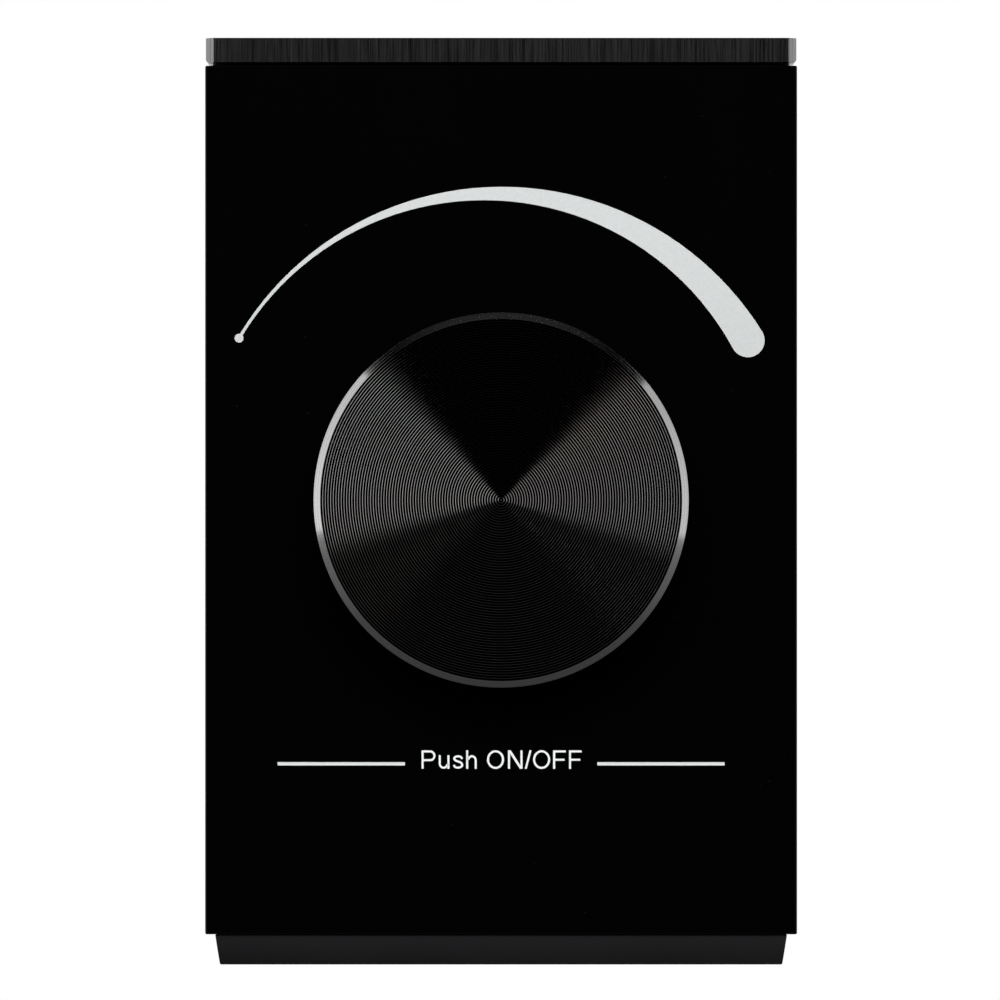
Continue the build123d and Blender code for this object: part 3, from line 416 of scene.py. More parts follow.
def rail_finish(colours):
    """Brushed black metal whose bevelled ends are cut bright."""
    finish = brushed_finish("brushed rail", colours.rail, (6000.0, 90.0, 90.0), 0.34, 0.9)
    tree = finish.node_tree
    streaks = grain(tree, (4500.0, 60.0, 60.0), 2.0)
    cut = tint(tree, streaks, scaled(colours.bevel, 0.72), scaled(colours.bevel, 1.2))
    shader = tree.nodes["Principled BSDF"]
    brushed = shader.inputs["Base Color"].links[0].from_socket
    reach = join(tree, "ABSOLUTE", piece_axes(tree)["X"], 0.0)
    start = RAIL_HIGH[0] - RAIL_BEVEL
    ends = spread(tree, reach, 0.0, 1.0, start - MASK_BLUR, start + MASK_BLUR)
    tree.links.new(blend(tree, ends, brushed, cut), shader.inputs["Base Color"])
    return finish


def moulded_finish(name, colour, roughness, size=0.00022, strength=0.35, edge=0.00015, gloss=0.5):
    """Moulded plastic with a fine eroded texture."""
    finish, tree, shader = start_finish(name, colour, roughness)
    shader.inputs["Specular IOR Level"].default_value = gloss
    scale = 1.0 / size
    fine = grain(tree, (scale, scale, scale), 2.0)
    flow = grain(tree, (70.0, 70.0, 70.0), 2.0)
    both = join(tree, "ADD", spread(tree, fine, 0.0, 0.7), spread(tree, flow, 0.0, 0.3))
    shade = tint(tree, both, scaled(colour, 0.86), scaled(colour, 1.14), 0.1, 0.9)
    tree.links.new(shade, shader.inputs["Base Color"])
    dull = spread(tree, flow, roughness - 0.06, roughness + 0.06)
    tree.links.new(dull, shader.inputs["Roughness"])
    relief(tree, shader, fine, strength, 0.00003, edge)
    return finish


def plated_finish(name, colour, roughness):
    """Plated metal with slight clouding."""
    finish, tree, shader = start_finish(name, colour, roughness, 1.0)
    cloud = grain(tree, (900.0, 900.0, 900.0), 3.0)
    shade = tint(tree, cloud, scaled(colour, 0.82), scaled(colour, 1.12))
    tree.links.new(shade, shader.inputs["Base Color"])
    dull = spread(tree, cloud, roughness * 0.8, roughness * 1.3)
    tree.links.new(dull, shader.inputs["Roughness"])
    return finish


def wound_finish(colour):
    """Enamelled wire laid in close turns, with painted shade in the grooves between them."""
    finish, tree, shader = start_finish("enamelled winding", colour, 0.3, 1.0)
    turns = tree.nodes.new("ShaderNodeTexWave")
    turns.bands_direction = "Y"
    turns.inputs["Scale"].default_value = 1.0
    turns.inputs["Distortion"].default_value = 0.6
    turns.inputs["Detail"].default_value = 1.0
    tree.links.new(place_on_piece(tree, (900.0, 900.0, 900.0)), turns.inputs["Vector"])
    # Painted shade: the colour is darkened to a third where the turns dip into the grooves between
    # them
    shade = tint(tree, turns.outputs["Fac"], scaled(colour, 0.35), colour)
    tree.links.new(shade, shader.inputs["Base Color"])
    relief(tree, shader, turns.outputs["Fac"], 0.6, 0.0001)
    return finish


def board_finish(colour):
    """Solder mask over faint copper tracks and glass weave."""
    finish, tree, shader = start_finish("solder mask", colour, 0.38)
    tracks = tree.nodes.new("ShaderNodeTexBrick")
    tracks.inputs["Scale"].default_value = 1.0
    tracks.inputs["Color1"].default_value = (*colour, 1.0)
    tracks.inputs["Color2"].default_value = (*scaled(colour, 0.8), 1.0)
    tracks.inputs["Mortar"].default_value = (*scaled(colour, 1.9), 1.0)
    tracks.inputs["Mortar Size"].default_value = 0.06
    tracks.inputs["Brick Width"].default_value = 2.3
    tracks.inputs["Row Height"].default_value = 0.9
    flat = place_on_piece(tree, (420.0, 420.0, 420.0), (math.pi / 2, 0.0, 0.0))
    tree.links.new(flat, tracks.inputs["Vector"])
    tree.links.new(tracks.outputs["Color"], shader.inputs["Base Color"])
    weave = grain(tree, (2600.0, 2600.0, 2600.0), 1.0)
    relief(tree, shader, weave, 0.2, 0.00003)
    return finish


def dress(finish, *nodes):
    """Give CAD pieces their finish."""
    for name in nodes:
        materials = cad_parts[name].data.materials
        if not materials:
            materials.append(finish)
        for index in range(len(materials)):
            materials[index] = finish


# Small helpers for meshes


def new_piece(name, mesh):
    """Object at the origin for a finished mesh."""
    piece = bpy.data.objects.new(name, mesh)
    bpy.context.scene.collection.objects.link(piece)
    return piece


def turned_shell(profile, segments):
    """Mesh turned about the Y axis from open (radius, level) points."""
    shell = bmesh.new()
    rows = []
    for radius, level in profile:
        if radius == 0.0:
            rows.append([shell.verts.new((0.0, level, 0.0))])
            continue
        row = []
        for step in range(segments):
            angle = 2.0 * math.pi * step / segments
            row.append(shell.verts.new((radius * math.cos(angle), level, radius * math.sin(angle))))
        rows.append(row)
    for first, second in zip(rows, rows[1:]):
        for step in range(segments):
            after = (step + 1) % segments
            corners = [first[step], first[after % len(first)]]
            corners += [second[after % len(second)], second[step % len(second)]]
            shell.faces.new(list(dict.fromkeys(corners)))
    mesh = bpy.data.meshes.new("turned shell")
    shell.to_mesh(mesh)
    shell.free()
    return mesh


def ring_tree():
    """Node tree that closes a turned shell with a face of fine turned rings."""
    tree = bpy.data.node_groups.new("turned ring face", "GeometryNodeTree")
    sockets = (
        ("Geometry", "Geometry"), ("Rings", "Int"), ("Segments", "Int"), ("Face Radius", "Float"),
        ("Face Level", "Float"), ("Ring Depth", "Float"), ("Rise Share", "Float"),
        ("Flank Share", "Float"), ("Metal", "Material"),
    )
    for label, kind in sockets:
        tree.interface.new_socket(label, in_out="INPUT", socket_type="NodeSocket" + kind)
    tree.interface.new_socket("Geometry", in_out="OUTPUT", socket_type="NodeSocketGeometry")
    given = tree.nodes.new("NodeGroupInput").outputs
    result = tree.nodes.new("NodeGroupOutput")

    def calc(operation, first, second=0.0):
        return join(tree, operation, first, second)

    def choose(index, *values):
        node = tree.nodes.new("GeometryNodeIndexSwitch")
        node.data_type = "FLOAT"
        while len(node.index_switch_items) < len(values):
            node.index_switch_items.new()
        feed(tree, node.inputs[0], index)
        for place, value in enumerate(values):
            feed(tree, node.inputs[1 + place], value)
        return node.outputs[0]

    # One ring is a steep rise, a flank that falls outwards and steepens once, and a flat floor
    columns = calc("ADD", given["Segments"], 1.0)
    grid = tree.nodes.new("GeometryNodeMeshGrid")
    rows = calc("ADD", calc("MULTIPLY", given["Rings"], RING_ROWS), 2.0)
    feed(tree, grid.inputs["Vertices X"], rows)
    feed(tree, grid.inputs["Vertices Y"], columns)
    index = tree.nodes.new("GeometryNodeInputIndex").outputs[0]
    row = calc("FLOOR", calc("DIVIDE", calc("ADD", index, 0.5), columns))
    column = calc("SUBTRACT", index, calc("MULTIPLY", row, columns))
    ring = calc("FLOOR", calc("DIVIDE", calc("ADD", row, 0.5), RING_ROWS))
    corner = calc("SUBTRACT", row, calc("MULTIPLY", ring, RING_ROWS))
    middle = calc("ADD", given["Rise Share"], calc("MULTIPLY", given["Flank Share"], 0.5))
    foot = calc("ADD", given["Rise Share"], given["Flank Share"])
    share = choose(corner, 0.0, given["Rise Share"], middle, foot)
    drop = choose(corner, 1.0, 0.0, FLANK_KNEE, 1.0)
    pitch = calc("DIVIDE", given["Face Radius"], calc("ADD", given["Rings"], given["Rise Share"]))
    radius = calc("MULTIPLY", calc("ADD", ring, share), pitch)
    angle = calc("DIVIDE", calc("MULTIPLY", column, 2.0 * math.pi), given["Segments"])
    depth = calc("MULTIPLY", drop, given["Ring Depth"])
    spot = tree.nodes.new("ShaderNodeCombineXYZ")
    feed(tree, spot.inputs["X"], calc("MULTIPLY", radius, calc("COSINE", angle)))
    feed(tree, spot.inputs["Y"], calc("ADD", given["Face Level"], depth))
    feed(tree, spot.inputs["Z"], calc("MULTIPLY", radius, calc("SINE", angle)))
    move = tree.nodes.new("GeometryNodeSetPosition")
    feed(tree, move.inputs["Geometry"], grid.outputs["Mesh"])
    feed(tree, move.inputs["Position"], spot.outputs["Vector"])
    whole = tree.nodes.new("GeometryNodeJoinGeometry")
    tree.links.new(move.outputs["Geometry"], whole.inputs["Geometry"])
    tree.links.new(given["Geometry"], whole.inputs["Geometry"])
    merge = tree.nodes.new("GeometryNodeMergeByDistance")
    merge.inputs["Distance"].default_value = SEAM_GAP
    tree.links.new(whole.outputs["Geometry"], merge.inputs["Geometry"])
    realise = tree.nodes.new("GeometryNodeRealizeInstances")
    tree.links.new(merge.outputs["Geometry"], realise.inputs["Geometry"])
    paint = tree.nodes.new("GeometryNodeSetMaterial")
    tree.links.new(realise.outputs["Geometry"], paint.inputs["Geometry"])
    tree.links.new(given["Metal"], paint.inputs["Material"])
    tree.links.new(paint.outputs["Geometry"], result.inputs["Geometry"])
    return tree


def bake_nodes(piece, tree, **values):
    """Run a node tree on a piece and keep its result as a plain mesh."""
    modifier = piece.modifiers.new(tree.name, "NODES")
    modifier.node_group = tree
    for item in tree.interface.items_tree:
        key = item.name.replace(" ", "_")
        if item.in_out == "INPUT" and key in values:
            modifier[item.identifier] = values[key]
    graph = bpy.context.evaluated_depsgraph_get()
    mesh = bpy.data.meshes.new_from_object(piece.evaluated_get(graph))
    piece.modifiers.remove(modifier)
    old = piece.data
    piece.data = mesh
    bpy.data.meshes.remove(old)
    return mesh


def finish_mesh(mesh, sharp_angle):
    """Merge doubles, point the faces outwards and shade smooth up to an angle."""
    work = bmesh.new()
    work.from_mesh(mesh)
    bmesh.ops.remove_doubles(work, verts=work.verts, dist=DOUBLE_GAP)
    bmesh.ops.recalc_face_normals(work, faces=work.faces)
    for face in work.faces:
        face.smooth = True
    work.to_mesh(mesh)
    work.free()
    mesh.set_sharp_from_angle(angle=math.radians(sharp_angle))


def strip_map(mesh, knob, profile):
    """Lay the turned faces out as strips, like beside like, for a finish drawn on them."""
    edge = knob.radius - knob.chamfer
    pitch = edge / (knob.rings + knob.rise)
    foot = knob.rise + knob.flank
    shares = ((0.0, knob.rise, RISE_STRIP), (knob.rise, foot, FLANK_STRIP), (foot, 1.0, FLOOR_STRIP))
    # Each zone of a ring has its own stack of strips, and the outer faces of the knob come last
    zones = []
    top = 0.0
    for start, end, height in shares:
        zones.append((start, end, height, top))
        top += height * (knob.rings + 1)
    bands = list(zip(profile, profile[1:]))
    whole = top + BAND_STRIP * len(bands)

    def along_band(band, spot):
        (first_reach, first_level), (last_reach, last_level) = band
        run = Vector((last_reach - first_reach, last_level - first_level))
        share = (spot - Vector((first_reach, first_level))).dot(run) / run.length_squared
        share = min(1.0, max(0.0, share))
        return share, (Vector((first_reach, first_level)) + run * share - spot).length

    layer = mesh.uv_layers.new(name="OFBake")
    for face in mesh.polygons:
        middle = face.center
        turn = math.atan2(middle.z, middle.x) % (2.0 * math.pi)
        reach = math.hypot(middle.x, middle.z)
        on_face = reach < edge and middle.y < knob.front + 2.0 * knob.ring_depth
        if on_face:
            ring = math.floor(reach / pitch)
            start, end, height, low = next(zone for zone in zones if reach / pitch - ring < zone[1])
        else:
            spot = Vector((reach, middle.y))
            band = min(range(len(bands)), key=lambda place: along_band(bands[place], spot)[1])
        for corner in face.loop_indices:
            point = mesh.vertices[mesh.loops[corner].vertex_index].co
            out = math.hypot(point.x, point.z)
            angle = math.atan2(point.z, point.x) if out > 0.1 * pitch * knob.rise else turn
            angle = turn + (angle - turn + math.pi) % (2.0 * math.pi) - math.pi
            if on_face:
                level = low + height * (ring + (out / pitch - ring - start) / (end - start))
            else:
                share = along_band(bands[band], Vector((out, point.y)))[0]
                level = top + BAND_STRIP * (band + share)
            layer.data[corner].uv = (angle / (2.0 * math.pi), level / whole)


# Letters of the legend, in shares of the capital height: strokes, open or closed, and outlines


def shifted(points, left):
    """Points moved along the line of words."""
    return [(x + left, z) for x, z in points]


def bow(centre, radius, start, end, steps=14):
    """Points on an ellipse between two angles in degrees."""
    points = []
    for step in range(steps + 1):
        angle = math.radians(start + (end - start) * step / steps)
        across, up = radius[0] * math.cos(angle), radius[1] * math.sin(angle)
        points.append((centre[0] + across, centre[1] + up))
    return points


def smooth_line(points, steps=5):
    """Smooth line through points."""
    line = []
    ends = [points[0]] + points + [points[-1]]
    for a, b, c, d in zip(ends, ends[1:], ends[2:], ends[3:]):
        for step in range(steps):
            t = step / steps
            line.append(tuple(
                0.5 * (2 * q + (r - p) * t + (2 * p - 5 * q + 4 * r - s) * t * t
                       + (3 * q - p - 3 * r + s) * t ** 3)
                for p, q, r, s in zip(a, b, c, d)))
    return line + [points[-1]]


def letter_p(w):
    top, low, wide = 1.0 - w / 2, 0.47, 0.76
    radius = (top - low) / 2
    turn = wide - w / 2 - radius
    bowl = [(w, top)] + bow((turn, low + radius), (radius, radius), 90.0, -90.0) + [(w, low)]
    return [([(w / 2, 0.0), (w / 2, 1.0)], False), (bowl, False)], []


def letter_u(w):
    wide, tall = 0.587, 0.735
    middle = (wide - w / 2) / 2
    cup = [(w / 2, tall)] + bow((middle, 0.29), (middle - w / 2, 0.29 - w / 2), 180.0, 270.0)
    cup += bow((middle, 0.27), (wide - w - middle, 0.27 - w / 2), 270.0, 352.0)[1:]
    return [(cup, False), ([(wide - w / 2, 0.0), (wide - w / 2, tall)], False)], []


def letter_s(w):
    line = [
        (0.515, 0.535), (0.45, 0.637), (0.30, 0.676), (0.145, 0.64), (0.085, 0.545),
        (0.16, 0.45), (0.30, 0.395), (0.44, 0.335), (0.515, 0.215), (0.45, 0.105),
        (0.30, 0.06), (0.13, 0.10), (0.062, 0.215),
    ]
    return [(smooth_line(line), False)], []


def letter_h(w):
    wide, tall = 0.576, 0.735
    middle = w + (wide - w / 2 - w) / 2
    arch = bow((middle, tall - 0.27), (middle - w, 0.27 - w / 2), 172.0, 90.0)
    arch += bow((middle, tall - 0.29), (wide - w / 2 - middle, 0.29 - w / 2), 90.0, 0.0)[1:]
    arch += [(wide - w / 2, 0.0)]
    return [([(w / 2, 0.0), (w / 2, 1.0)], False), (arch, False)], []


def letter_o(w):
    wide = 0.93
    return [(bow((wide / 2, 0.5), ((wide - w) / 2, 0.508 - w / 2), 0.0, 360.0, 56)[:-1], True)], []


def letter_n(w):
    wide, slope = 0.79, w * 1.3
    stems = [([(x, 0.0), (x, 1.0)], False) for x in (w / 2, wide - w / 2)]
    high = w / (wide - slope)
    diagonal = [
        (w, 1.0), (slope, 1.0), (wide - w, high),
        (wide - w, 0.0), (wide - slope, 0.0), (w, 1.0 - high),
    ]
    return stems, [diagonal]


def letter_f(w):
    wide = 0.69
    stem = [(w / 2, 0.0), (w / 2, 1.0)]
    top = [(w, 1.0 - w / 2), (wide, 1.0 - w / 2)]
    bar = [(w, 0.49), (0.9 * wide, 0.49)]
    return [(stem, False), (top, False), (bar, False)], []


def letter_slash(w):
    wide = 0.37
    return [], [[(0.0, 0.0), (w, 0.0), (wide, 1.0), (wide - w, 1.0)]]


LEGEND_LETTERS = (
    (letter_p, 0.0), (letter_u, 0.93), (letter_s, 1.69), (letter_h, 2.42), (letter_o, 3.55),
    (letter_n, 4.69), (letter_slash, 5.6), (letter_o, 6.05), (letter_f, 7.14), (letter_f, 8.0),
)


def add_ribbon(plate, points, half, closed):
    """Flat stroke of even width along points, with its thickness."""
    count = len(points)
    rows = []
    for place in range(count):
        before = points[(place - 1) % count] if closed or place > 0 else points[place]
        after = points[(place + 1) % count] if closed or place < count - 1 else points[place]
        along = Vector((after[0] - before[0], after[1] - before[1])).normalized()
        side = Vector((-along.y, along.x)) * half
        x, z = points[place]
        edges = [(x + side.x, z + side.y), (x - side.x, z - side.y)]
        rows.append([plate.verts.new((px, depth, pz)) for depth in (1.0, 0.0) for px, pz in edges])
    pairs = list(zip(rows, rows[1:]))
    if closed:
        pairs.append((rows[-1], rows[0]))
    for first, second in pairs:
        for a, b in ((0, 1), (1, 3), (3, 2), (2, 0)):
            plate.faces.new((first[a], first[b], second[b], second[a]))
    if not closed:
        for row in (rows[0], rows[-1]):
            plate.faces.new((row[0], row[1], row[3], row[2]))


def add_outline(plate, points):
    """Flat shape inside an outline, with its thickness."""
    front = [plate.verts.new((x, 1.0, z)) for x, z in points]
    rear = [plate.verts.new((x, 0.0, z)) for x, z in points]
    plate.faces.new(front)
    plate.faces.new(rear)
    for place in range(len(points)):
        after = (place + 1) % len(points)
        plate.faces.new((front[place], front[after], rear[after], rear[place]))


# Operators, one for each group of pieces


class DIMMER_OT_front(bpy.types.Operator):
    """Black glass, printed scale and bonding sheet"""
    bl_idname = "dimmer.front"
    bl_label = "Glass and print"

    def execute(self, context):
        colours = context.scene.dimmer_finishes
        dress(glass_finish(colours.glass), "front_glass")
        dress(ink_finish("printed ink", colours.ink, colours.rules), "scale_print")
        sheet = moulded_finish("bonding sheet", (0.05, 0.05, 0.05), 0.7, 0.0005, 0.3, 0.0)
        dress(sheet, "glass_adhesive")
        return {"FINISHED"}


class DIMMER_OT_legend(bpy.types.Operator):
    """Operating legend printed under the knob"""
    bl_idname = "dimmer.legend"
    bl_label = "Legend"

    def execute(self, context):
        legend = context.scene.dimmer_legend
        colours = context.scene.dimmer_finishes
        plate = bmesh.new()
        for draw, left in LEGEND_LETTERS:
            strokes, outlines = draw(legend.stroke)
            for path, closed in strokes:
                add_ribbon(plate, shifted(path, left), legend.stroke / 2.0, closed)
            for outline in outlines:
                add_outline(plate, shifted(outline, left))
        # Letters are drawn flat, one capital high, and then set on the glass
        for vertex in plate.verts:
            x, y, z = vertex.co
            depth = PRINT_LOW[1] if y > 0.5 else GLASS_LOW[1]
            height = legend.baseline + z * legend.capital
            vertex.co = (legend.left + x * legend.capital, depth, height)
        mesh = bpy.data.meshes.new("legend words")
        plate.to_mesh(mesh)
        plate.free()
        piece = new_piece("legend_words", mesh)
        finish_mesh(mesh, 30.0)
        mesh.materials.append(ink_finish("legend ink", colours.ink, colours.words))
        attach(piece, "panel")
        return {"FINISHED"}


class DIMMER_OT_knob(bpy.types.Operator):
    """Turned knob with its fine rings and polished chamfer"""
    bl_idname = "dimmer.knob"
    bl_label = "Turned knob"

    def execute(self, context):
        knob = context.scene.dimmer_knob
        colours = context.scene.dimmer_finishes
        metal = turned_finish(colours, knob)
        inner = knob.radius - knob.wall
        face_radius = knob.radius - knob.chamfer
        profile = [
            (face_radius, knob.front),
            (knob.radius, knob.front + knob.chamfer),
            (knob.radius, knob.back - knob.back_chamfer),
            (knob.radius - knob.back_chamfer, knob.back),
            (inner, knob.back),
            (inner, knob.inside),
            (0.0, knob.inside),
        ]
        piece = new_piece("knob_turned", turned_shell(profile, knob.segments))
        mesh = bake_nodes(
            piece, ring_tree(), Rings=knob.rings, Segments=knob.segments,
            Face_Radius=face_radius, Face_Level=knob.front, Ring_Depth=knob.ring_depth,
            Rise_Share=knob.rise, Flank_Share=knob.flank, Metal=metal)
        finish_mesh(mesh, 25.0)
        mesh.materials.clear()
        mesh.materials.append(metal)
        strip_map(mesh, knob, profile)
        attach(piece, "knob")
        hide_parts("knob_shell")
        return {"FINISHED"}


class DIMMER_OT_metalwork(bpy.types.Operator):
    """Brushed rail, screws, shaft and springs"""
    bl_idname = "dimmer.metalwork"
    bl_label = "Rail and metal parts"

    def execute(self, context):
        colours = context.scene.dimmer_finishes
        dress(rail_finish(colours), "top_rail")
        steel = plated_finish("plated steel", colours.steel, 0.3)
        dress(steel, "rail_screws", "cover_screws", "control_board_screws", "encoder_cover",
              "bushing_washer", "bushing_nut", "detent_spring", "switch_dome", "shaft_ring",
              "knob_clip", "terminal_clamps", "terminal_screws")
        dress(plated_finish("turned shaft", (0.6, 0.6, 0.61), 0.24), "encoder_shaft")
        brass = plated_finish("contact brass", colours.brass, 0.28)
        dress(brass, "encoder_bushing", "encoder_pins", "header_pins")
        lines = (200.0, 40.0, 2500.0)
        dress(brushed_finish("extruded sink", (0.65, 0.65, 0.66), lines, 0.34, 0.12), "heat_sink")
        return {"FINISHED"}


class DIMMER_OT_dome(bpy.types.Operator):
    """Snap dome, copied from its CAD part onto the panel as a piece of its own"""
    bl_idname = "dimmer.dome"
    bl_label = "Snap dome"

    def execute(self, context):
        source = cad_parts["switch_dome"]
        mesh = source.data.copy()
        mesh.transform(source.matrix_world)
        piece = new_piece("snap_dome", mesh)
        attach(piece, "panel")
        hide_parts("switch_dome")
        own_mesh(piece)
        return {"FINISHED"}


class DIMMER_OT_housing(bpy.types.Operator):
    """Moulded base, carrier, hub, barrier and terminals"""
    bl_idname = "dimmer.housing"
    bl_label = "Mouldings"

    def execute(self, context):
        colours = context.scene.dimmer_finishes
        matt = moulded_finish("matt moulding", colours.housing, 0.6, gloss=0.06)
        dress(matt, "base_housing", "glass_carrier", "knob_hub")
        pale = moulded_finish("pale moulding", colours.barrier, 0.5, 0.0004, 0.2)
        dress(pale, "inner_cover", "transformer_bobbin", "encoder_rotor", "switch_plunger")
        green = moulded_finish("terminal moulding", colours.terminal, 0.42, 0.0004, 0.15)
        dress(green, "terminal_block")
        return {"FINISHED"}


class DIMMER_OT_electronics(bpy.types.Operator):
    """Boards and the parts that stand on them"""
    bl_idname = "dimmer.electronics"
    bl_label = "Boards and components"

    def execute(self, context):
        colours = context.scene.dimmer_finishes
        dress(board_finish(colours.board), "power_board", "control_board")
        black = moulded_finish("component black", (0.02, 0.02, 0.022), 0.45, 0.0002, 0.2)
        dress(black, "controller_chip", "socket_strip", "header_block", "encoder_case",
              "line_fuse", "dimming_transistors")
        core = moulded_finish("sintered core", (0.04, 0.04, 0.042), 0.62, 0.0003, 0.5)
        dress(core, "transformer_core", "filter_choke")
        sleeve = moulded_finish("capacitor sleeve", (0.02, 0.03, 0.08), 0.25, 0.002, 0.1)
        dress(sleeve, "bulk_capacitors")
        dress(wound_finish(colours.copper), "transformer_winding")
        return {"FINISHED"}


class DIMMER_OT_studio(bpy.types.Operator):
    """Floor, softboxes, surroundings and camera"""
    bl_idname = "dimmer.studio"
    bl_label = "Studio"

    def execute(self, context):
        studio = context.scene.dimmer_studio
        scene = context.scene
        scene.view_settings.view_transform = "Standard"
        self.make_floor(studio)
        self.make_surroundings(scene)
        # Angles are seen from the front: round the knob's axis, and away from it
        distance = studio.box_distance
        for name, turn, wide, strong in SIDE_BOXES:
            size = (studio.side_width * wide, studio.side_length)
            self.make_softbox(name, turn, SIDE_AWAY, distance, size, studio.side_power * strong)
        size = (studio.front_width, studio.front_length)
        box = self.make_softbox(
            "softbox front", FRONT_TURN, FRONT_AWAY, distance, size, studio.front_power)
        self.flag_off(box, bpy.data.objects.get("knob_turned"))
        self.make_lamp(*BACK_LIGHT)
        for fill in FILLS:
            self.make_lamp(*fill).visible_glossy = False
        lens = bpy.data.cameras.new("camera")
        lens.sensor_width = 36.0
        lens.lens = studio.focal
        camera = new_piece("camera", lens)
        camera.location = (studio.side, GLASS_LOW[1] - studio.distance, 0.0)
        camera.rotation_euler = (math.pi / 2, 0.0, 0.0)
        scene.camera = camera
        return {"FINISHED"}

    def make_floor(self, studio):
        """Pale floor below and behind the panel, which fades to white towards its rim."""
        middle = (0.0, FLOOR_BACK, studio.floor_level)
        sheet = bmesh.new()
        bmesh.ops.create_grid(sheet, x_segments=8, y_segments=8, size=FLOOR_HALF)
        bmesh.ops.translate(sheet, verts=sheet.verts, vec=middle)
        mesh = bpy.data.meshes.new("floor")
        sheet.to_mesh(mesh)
        sheet.free()
        finish, tree, shader = start_finish("pale floor", studio.floor, 0.8)
        cloud = grain(tree, (6.0, 6.0, 6.0), 3.0)
        shade = tint(tree, cloud, scaled(studio.floor, 0.98), scaled(studio.floor, 1.02))
        tree.links.new(shade, shader.inputs["Base Color"])
        shader.inputs["Emission Color"].default_value = WHITE
        away = tree.nodes.new("ShaderNodeVectorMath")
        away.operation = "DISTANCE"
        away.inputs[1].default_value = middle
        tree.links.new(place_on_piece(tree, (1.0, 1.0, 1.0)), away.inputs[0])
        fade = spread(tree, away.outputs["Value"], *FLOOR_FADE)
        tree.links.new(seen_rays(tree, fade), shader.inputs["Emission Strength"])
        mesh.materials.append(finish)
        new_piece("floor", mesh)

    def make_surroundings(self, scene):
        """White behind the panel, and a dark room with a dim floor, sides and ceiling before it."""
        world = bpy.data.worlds.new("studio surroundings")
        world.use_nodes = True
        scene.world = world
        tree = world.node_tree
        background = tree.nodes["Background"]
        background.inputs["Strength"].default_value = 1.0
        direction = tree.nodes.new("ShaderNodeTexCoord").outputs["Generated"]
        split = tree.nodes.new("ShaderNodeSeparateXYZ")
        tree.links.new(direction, split.inputs["Vector"])
        depth, height = split.outputs["Y"], split.outputs["Z"]
        behind = spread(tree, depth, *WALL_FADE)
        below = spread(tree, height, *FLOOR_GLOW)
        beside = spread(tree, height, *LOW_GLOW)
        beside = join(tree, "ADD", beside, spread(tree, height, *SIDE_GLOW))
        beside = join(tree, "MULTIPLY", beside, spread(tree, height, *SIDE_FADE))
        beside = join(tree, "ADD", beside, spread(tree, height, *CEILING_GLOW))
        near = join(tree, "MULTIPLY", beside, spread(tree, depth, *PLANE_FADE))
        path, mirrored = light_path(tree)
        glow = join(tree, "MULTIPLY", join(tree, "ADD", below, near), mirrored)
        dim = join(tree, "ADD", glow, ROOM_LEVEL)
        rear = blend(tree, mirrored, WALL_GREY, WHITE)
        room = blend(tree, behind, BLACK, rear)
        grey = tree.nodes.new("ShaderNodeCombineColor")
        for channel in ("Red", "Green", "Blue"):
            tree.links.new(dim, grey.inputs[channel])
        lit = tree.nodes.new("ShaderNodeMix")
        lit.data_type = "RGBA"
        lit.blend_type = "LIGHTEN"
        lit.inputs["Factor"].default_value = 1.0
        tree.links.new(grey.outputs["Color"], lit.inputs["A"])
        tree.links.new(room, lit.inputs["B"])
        shown = blend(tree, path["Is Camera Ray"], lit.outputs["Result"], WHITE)
        tree.links.new(shown, background.inputs["Color"])

    def make_softbox(self, name, turn, away, distance, size, power):
        """Softbox that faces the knob."""
        turn, away = math.radians(turn), math.radians(away)
        forward = Vector((0.0, -1.0, 0.0))
        out = Vector((math.cos(turn), 0.0, math.sin(turn)))
        place = out * math.sin(away) + forward * math.cos(away)
        lamp = bpy.data.lights.new(name, "AREA")
        lamp.shape = "RECTANGLE"
        lamp.size, lamp.size_y = size
        lamp.energy = power
        box = new_piece(name.replace(" ", "_"), lamp)
        box.location = place * distance + Vector((0.0, KNOB_LOW[1], 0.0))
        # The lamp shines along its -Z axis, and its Y axis runs away from the knob's axis
        along = out * math.cos(away) - forward * math.sin(away)
        box.rotation_euler = Matrix((along.cross(place), along, place)).transposed().to_euler()
        return box

    def flag_off(self, box, piece):
        """Keep a softbox off one piece, as a flag beside the lamp does."""
        if piece is None:
            return
        shaded = bpy.data.collections.new("kept dark")
        shaded.objects.link(piece)
        shaded.collection_objects[0].light_linking.link_state = "EXCLUDE"
        box.light_linking.receiver_collection = shaded

    def make_lamp(self, name, place, power):
        """Square lamp that faces the panel."""
        lamp = bpy.data.lights.new(name, "AREA")
        lamp.shape = "SQUARE"
        lamp.size = LAMP_SIZE
        lamp.energy = power
        light = new_piece(name.replace(" ", "_"), lamp)
        light.location = place
        light.rotation_euler = (-Vector(place)).normalized().to_track_quat("-Z", "Y").to_euler()
        return light


class DIMMER_PT_panel(bpy.types.Panel):
    """Lists the steps that dress the dimmer"""
    bl_idname = "DIMMER_PT_panel"
    bl_label = "Rotary dimmer"
    bl_space_type = "VIEW_3D"
    bl_region_type = "UI"
    bl_category = "Dimmer"

    def draw(self, context):
        for step in STEPS:
            self.layout.operator(step.bl_idname)
        for group, _ in SETTINGS:
            settings = getattr(context.scene, group)
            box = self.layout.box()
            for name in settings.__annotations__:
                box.prop(settings, name)


STEPS = (
    DIMMER_OT_front, DIMMER_OT_legend, DIMMER_OT_knob, DIMMER_OT_metalwork, DIMMER_OT_dome,
    DIMMER_OT_housing, DIMMER_OT_electronics, DIMMER_OT_studio,
)
SETTINGS = (
    ("dimmer_knob", DimmerKnob), ("dimmer_legend", DimmerLegend),
    ("dimmer_finishes", DimmerFinishes), ("dimmer_studio", DimmerStudio),
)


def register():
    for name, group in SETTINGS:
        bpy.utils.register_class(group)
        setattr(bpy.types.Scene, name, PointerProperty(type=group))
    for step in STEPS:
        bpy.utils.register_class(step)
    bpy.utils.register_class(DIMMER_PT_panel)


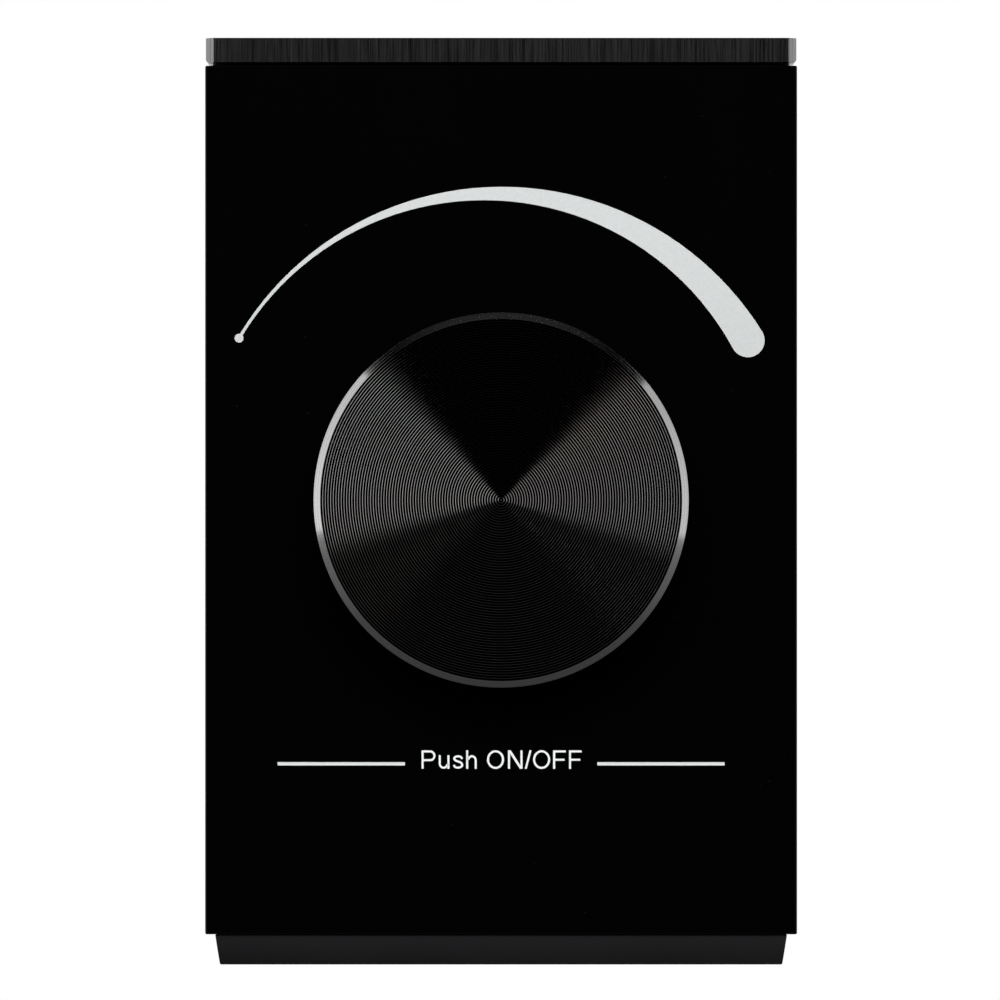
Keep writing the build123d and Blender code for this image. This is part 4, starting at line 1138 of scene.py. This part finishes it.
def unregister():
    bpy.utils.unregister_class(DIMMER_PT_panel)
    for step in reversed(STEPS):
        bpy.utils.unregister_class(step)
    for name, group in reversed(SETTINGS):
        delattr(bpy.types.Scene, name)
        bpy.utils.unregister_class(group)


def main():
    register()
    bpy.ops.dimmer.front()
    bpy.ops.dimmer.legend()
    bpy.ops.dimmer.knob()
    bpy.ops.dimmer.metalwork()
    bpy.ops.dimmer.dome()
    bpy.ops.dimmer.housing()
    bpy.ops.dimmer.electronics()
    bpy.ops.dimmer.studio()


if __name__ == "__main__":
    main()
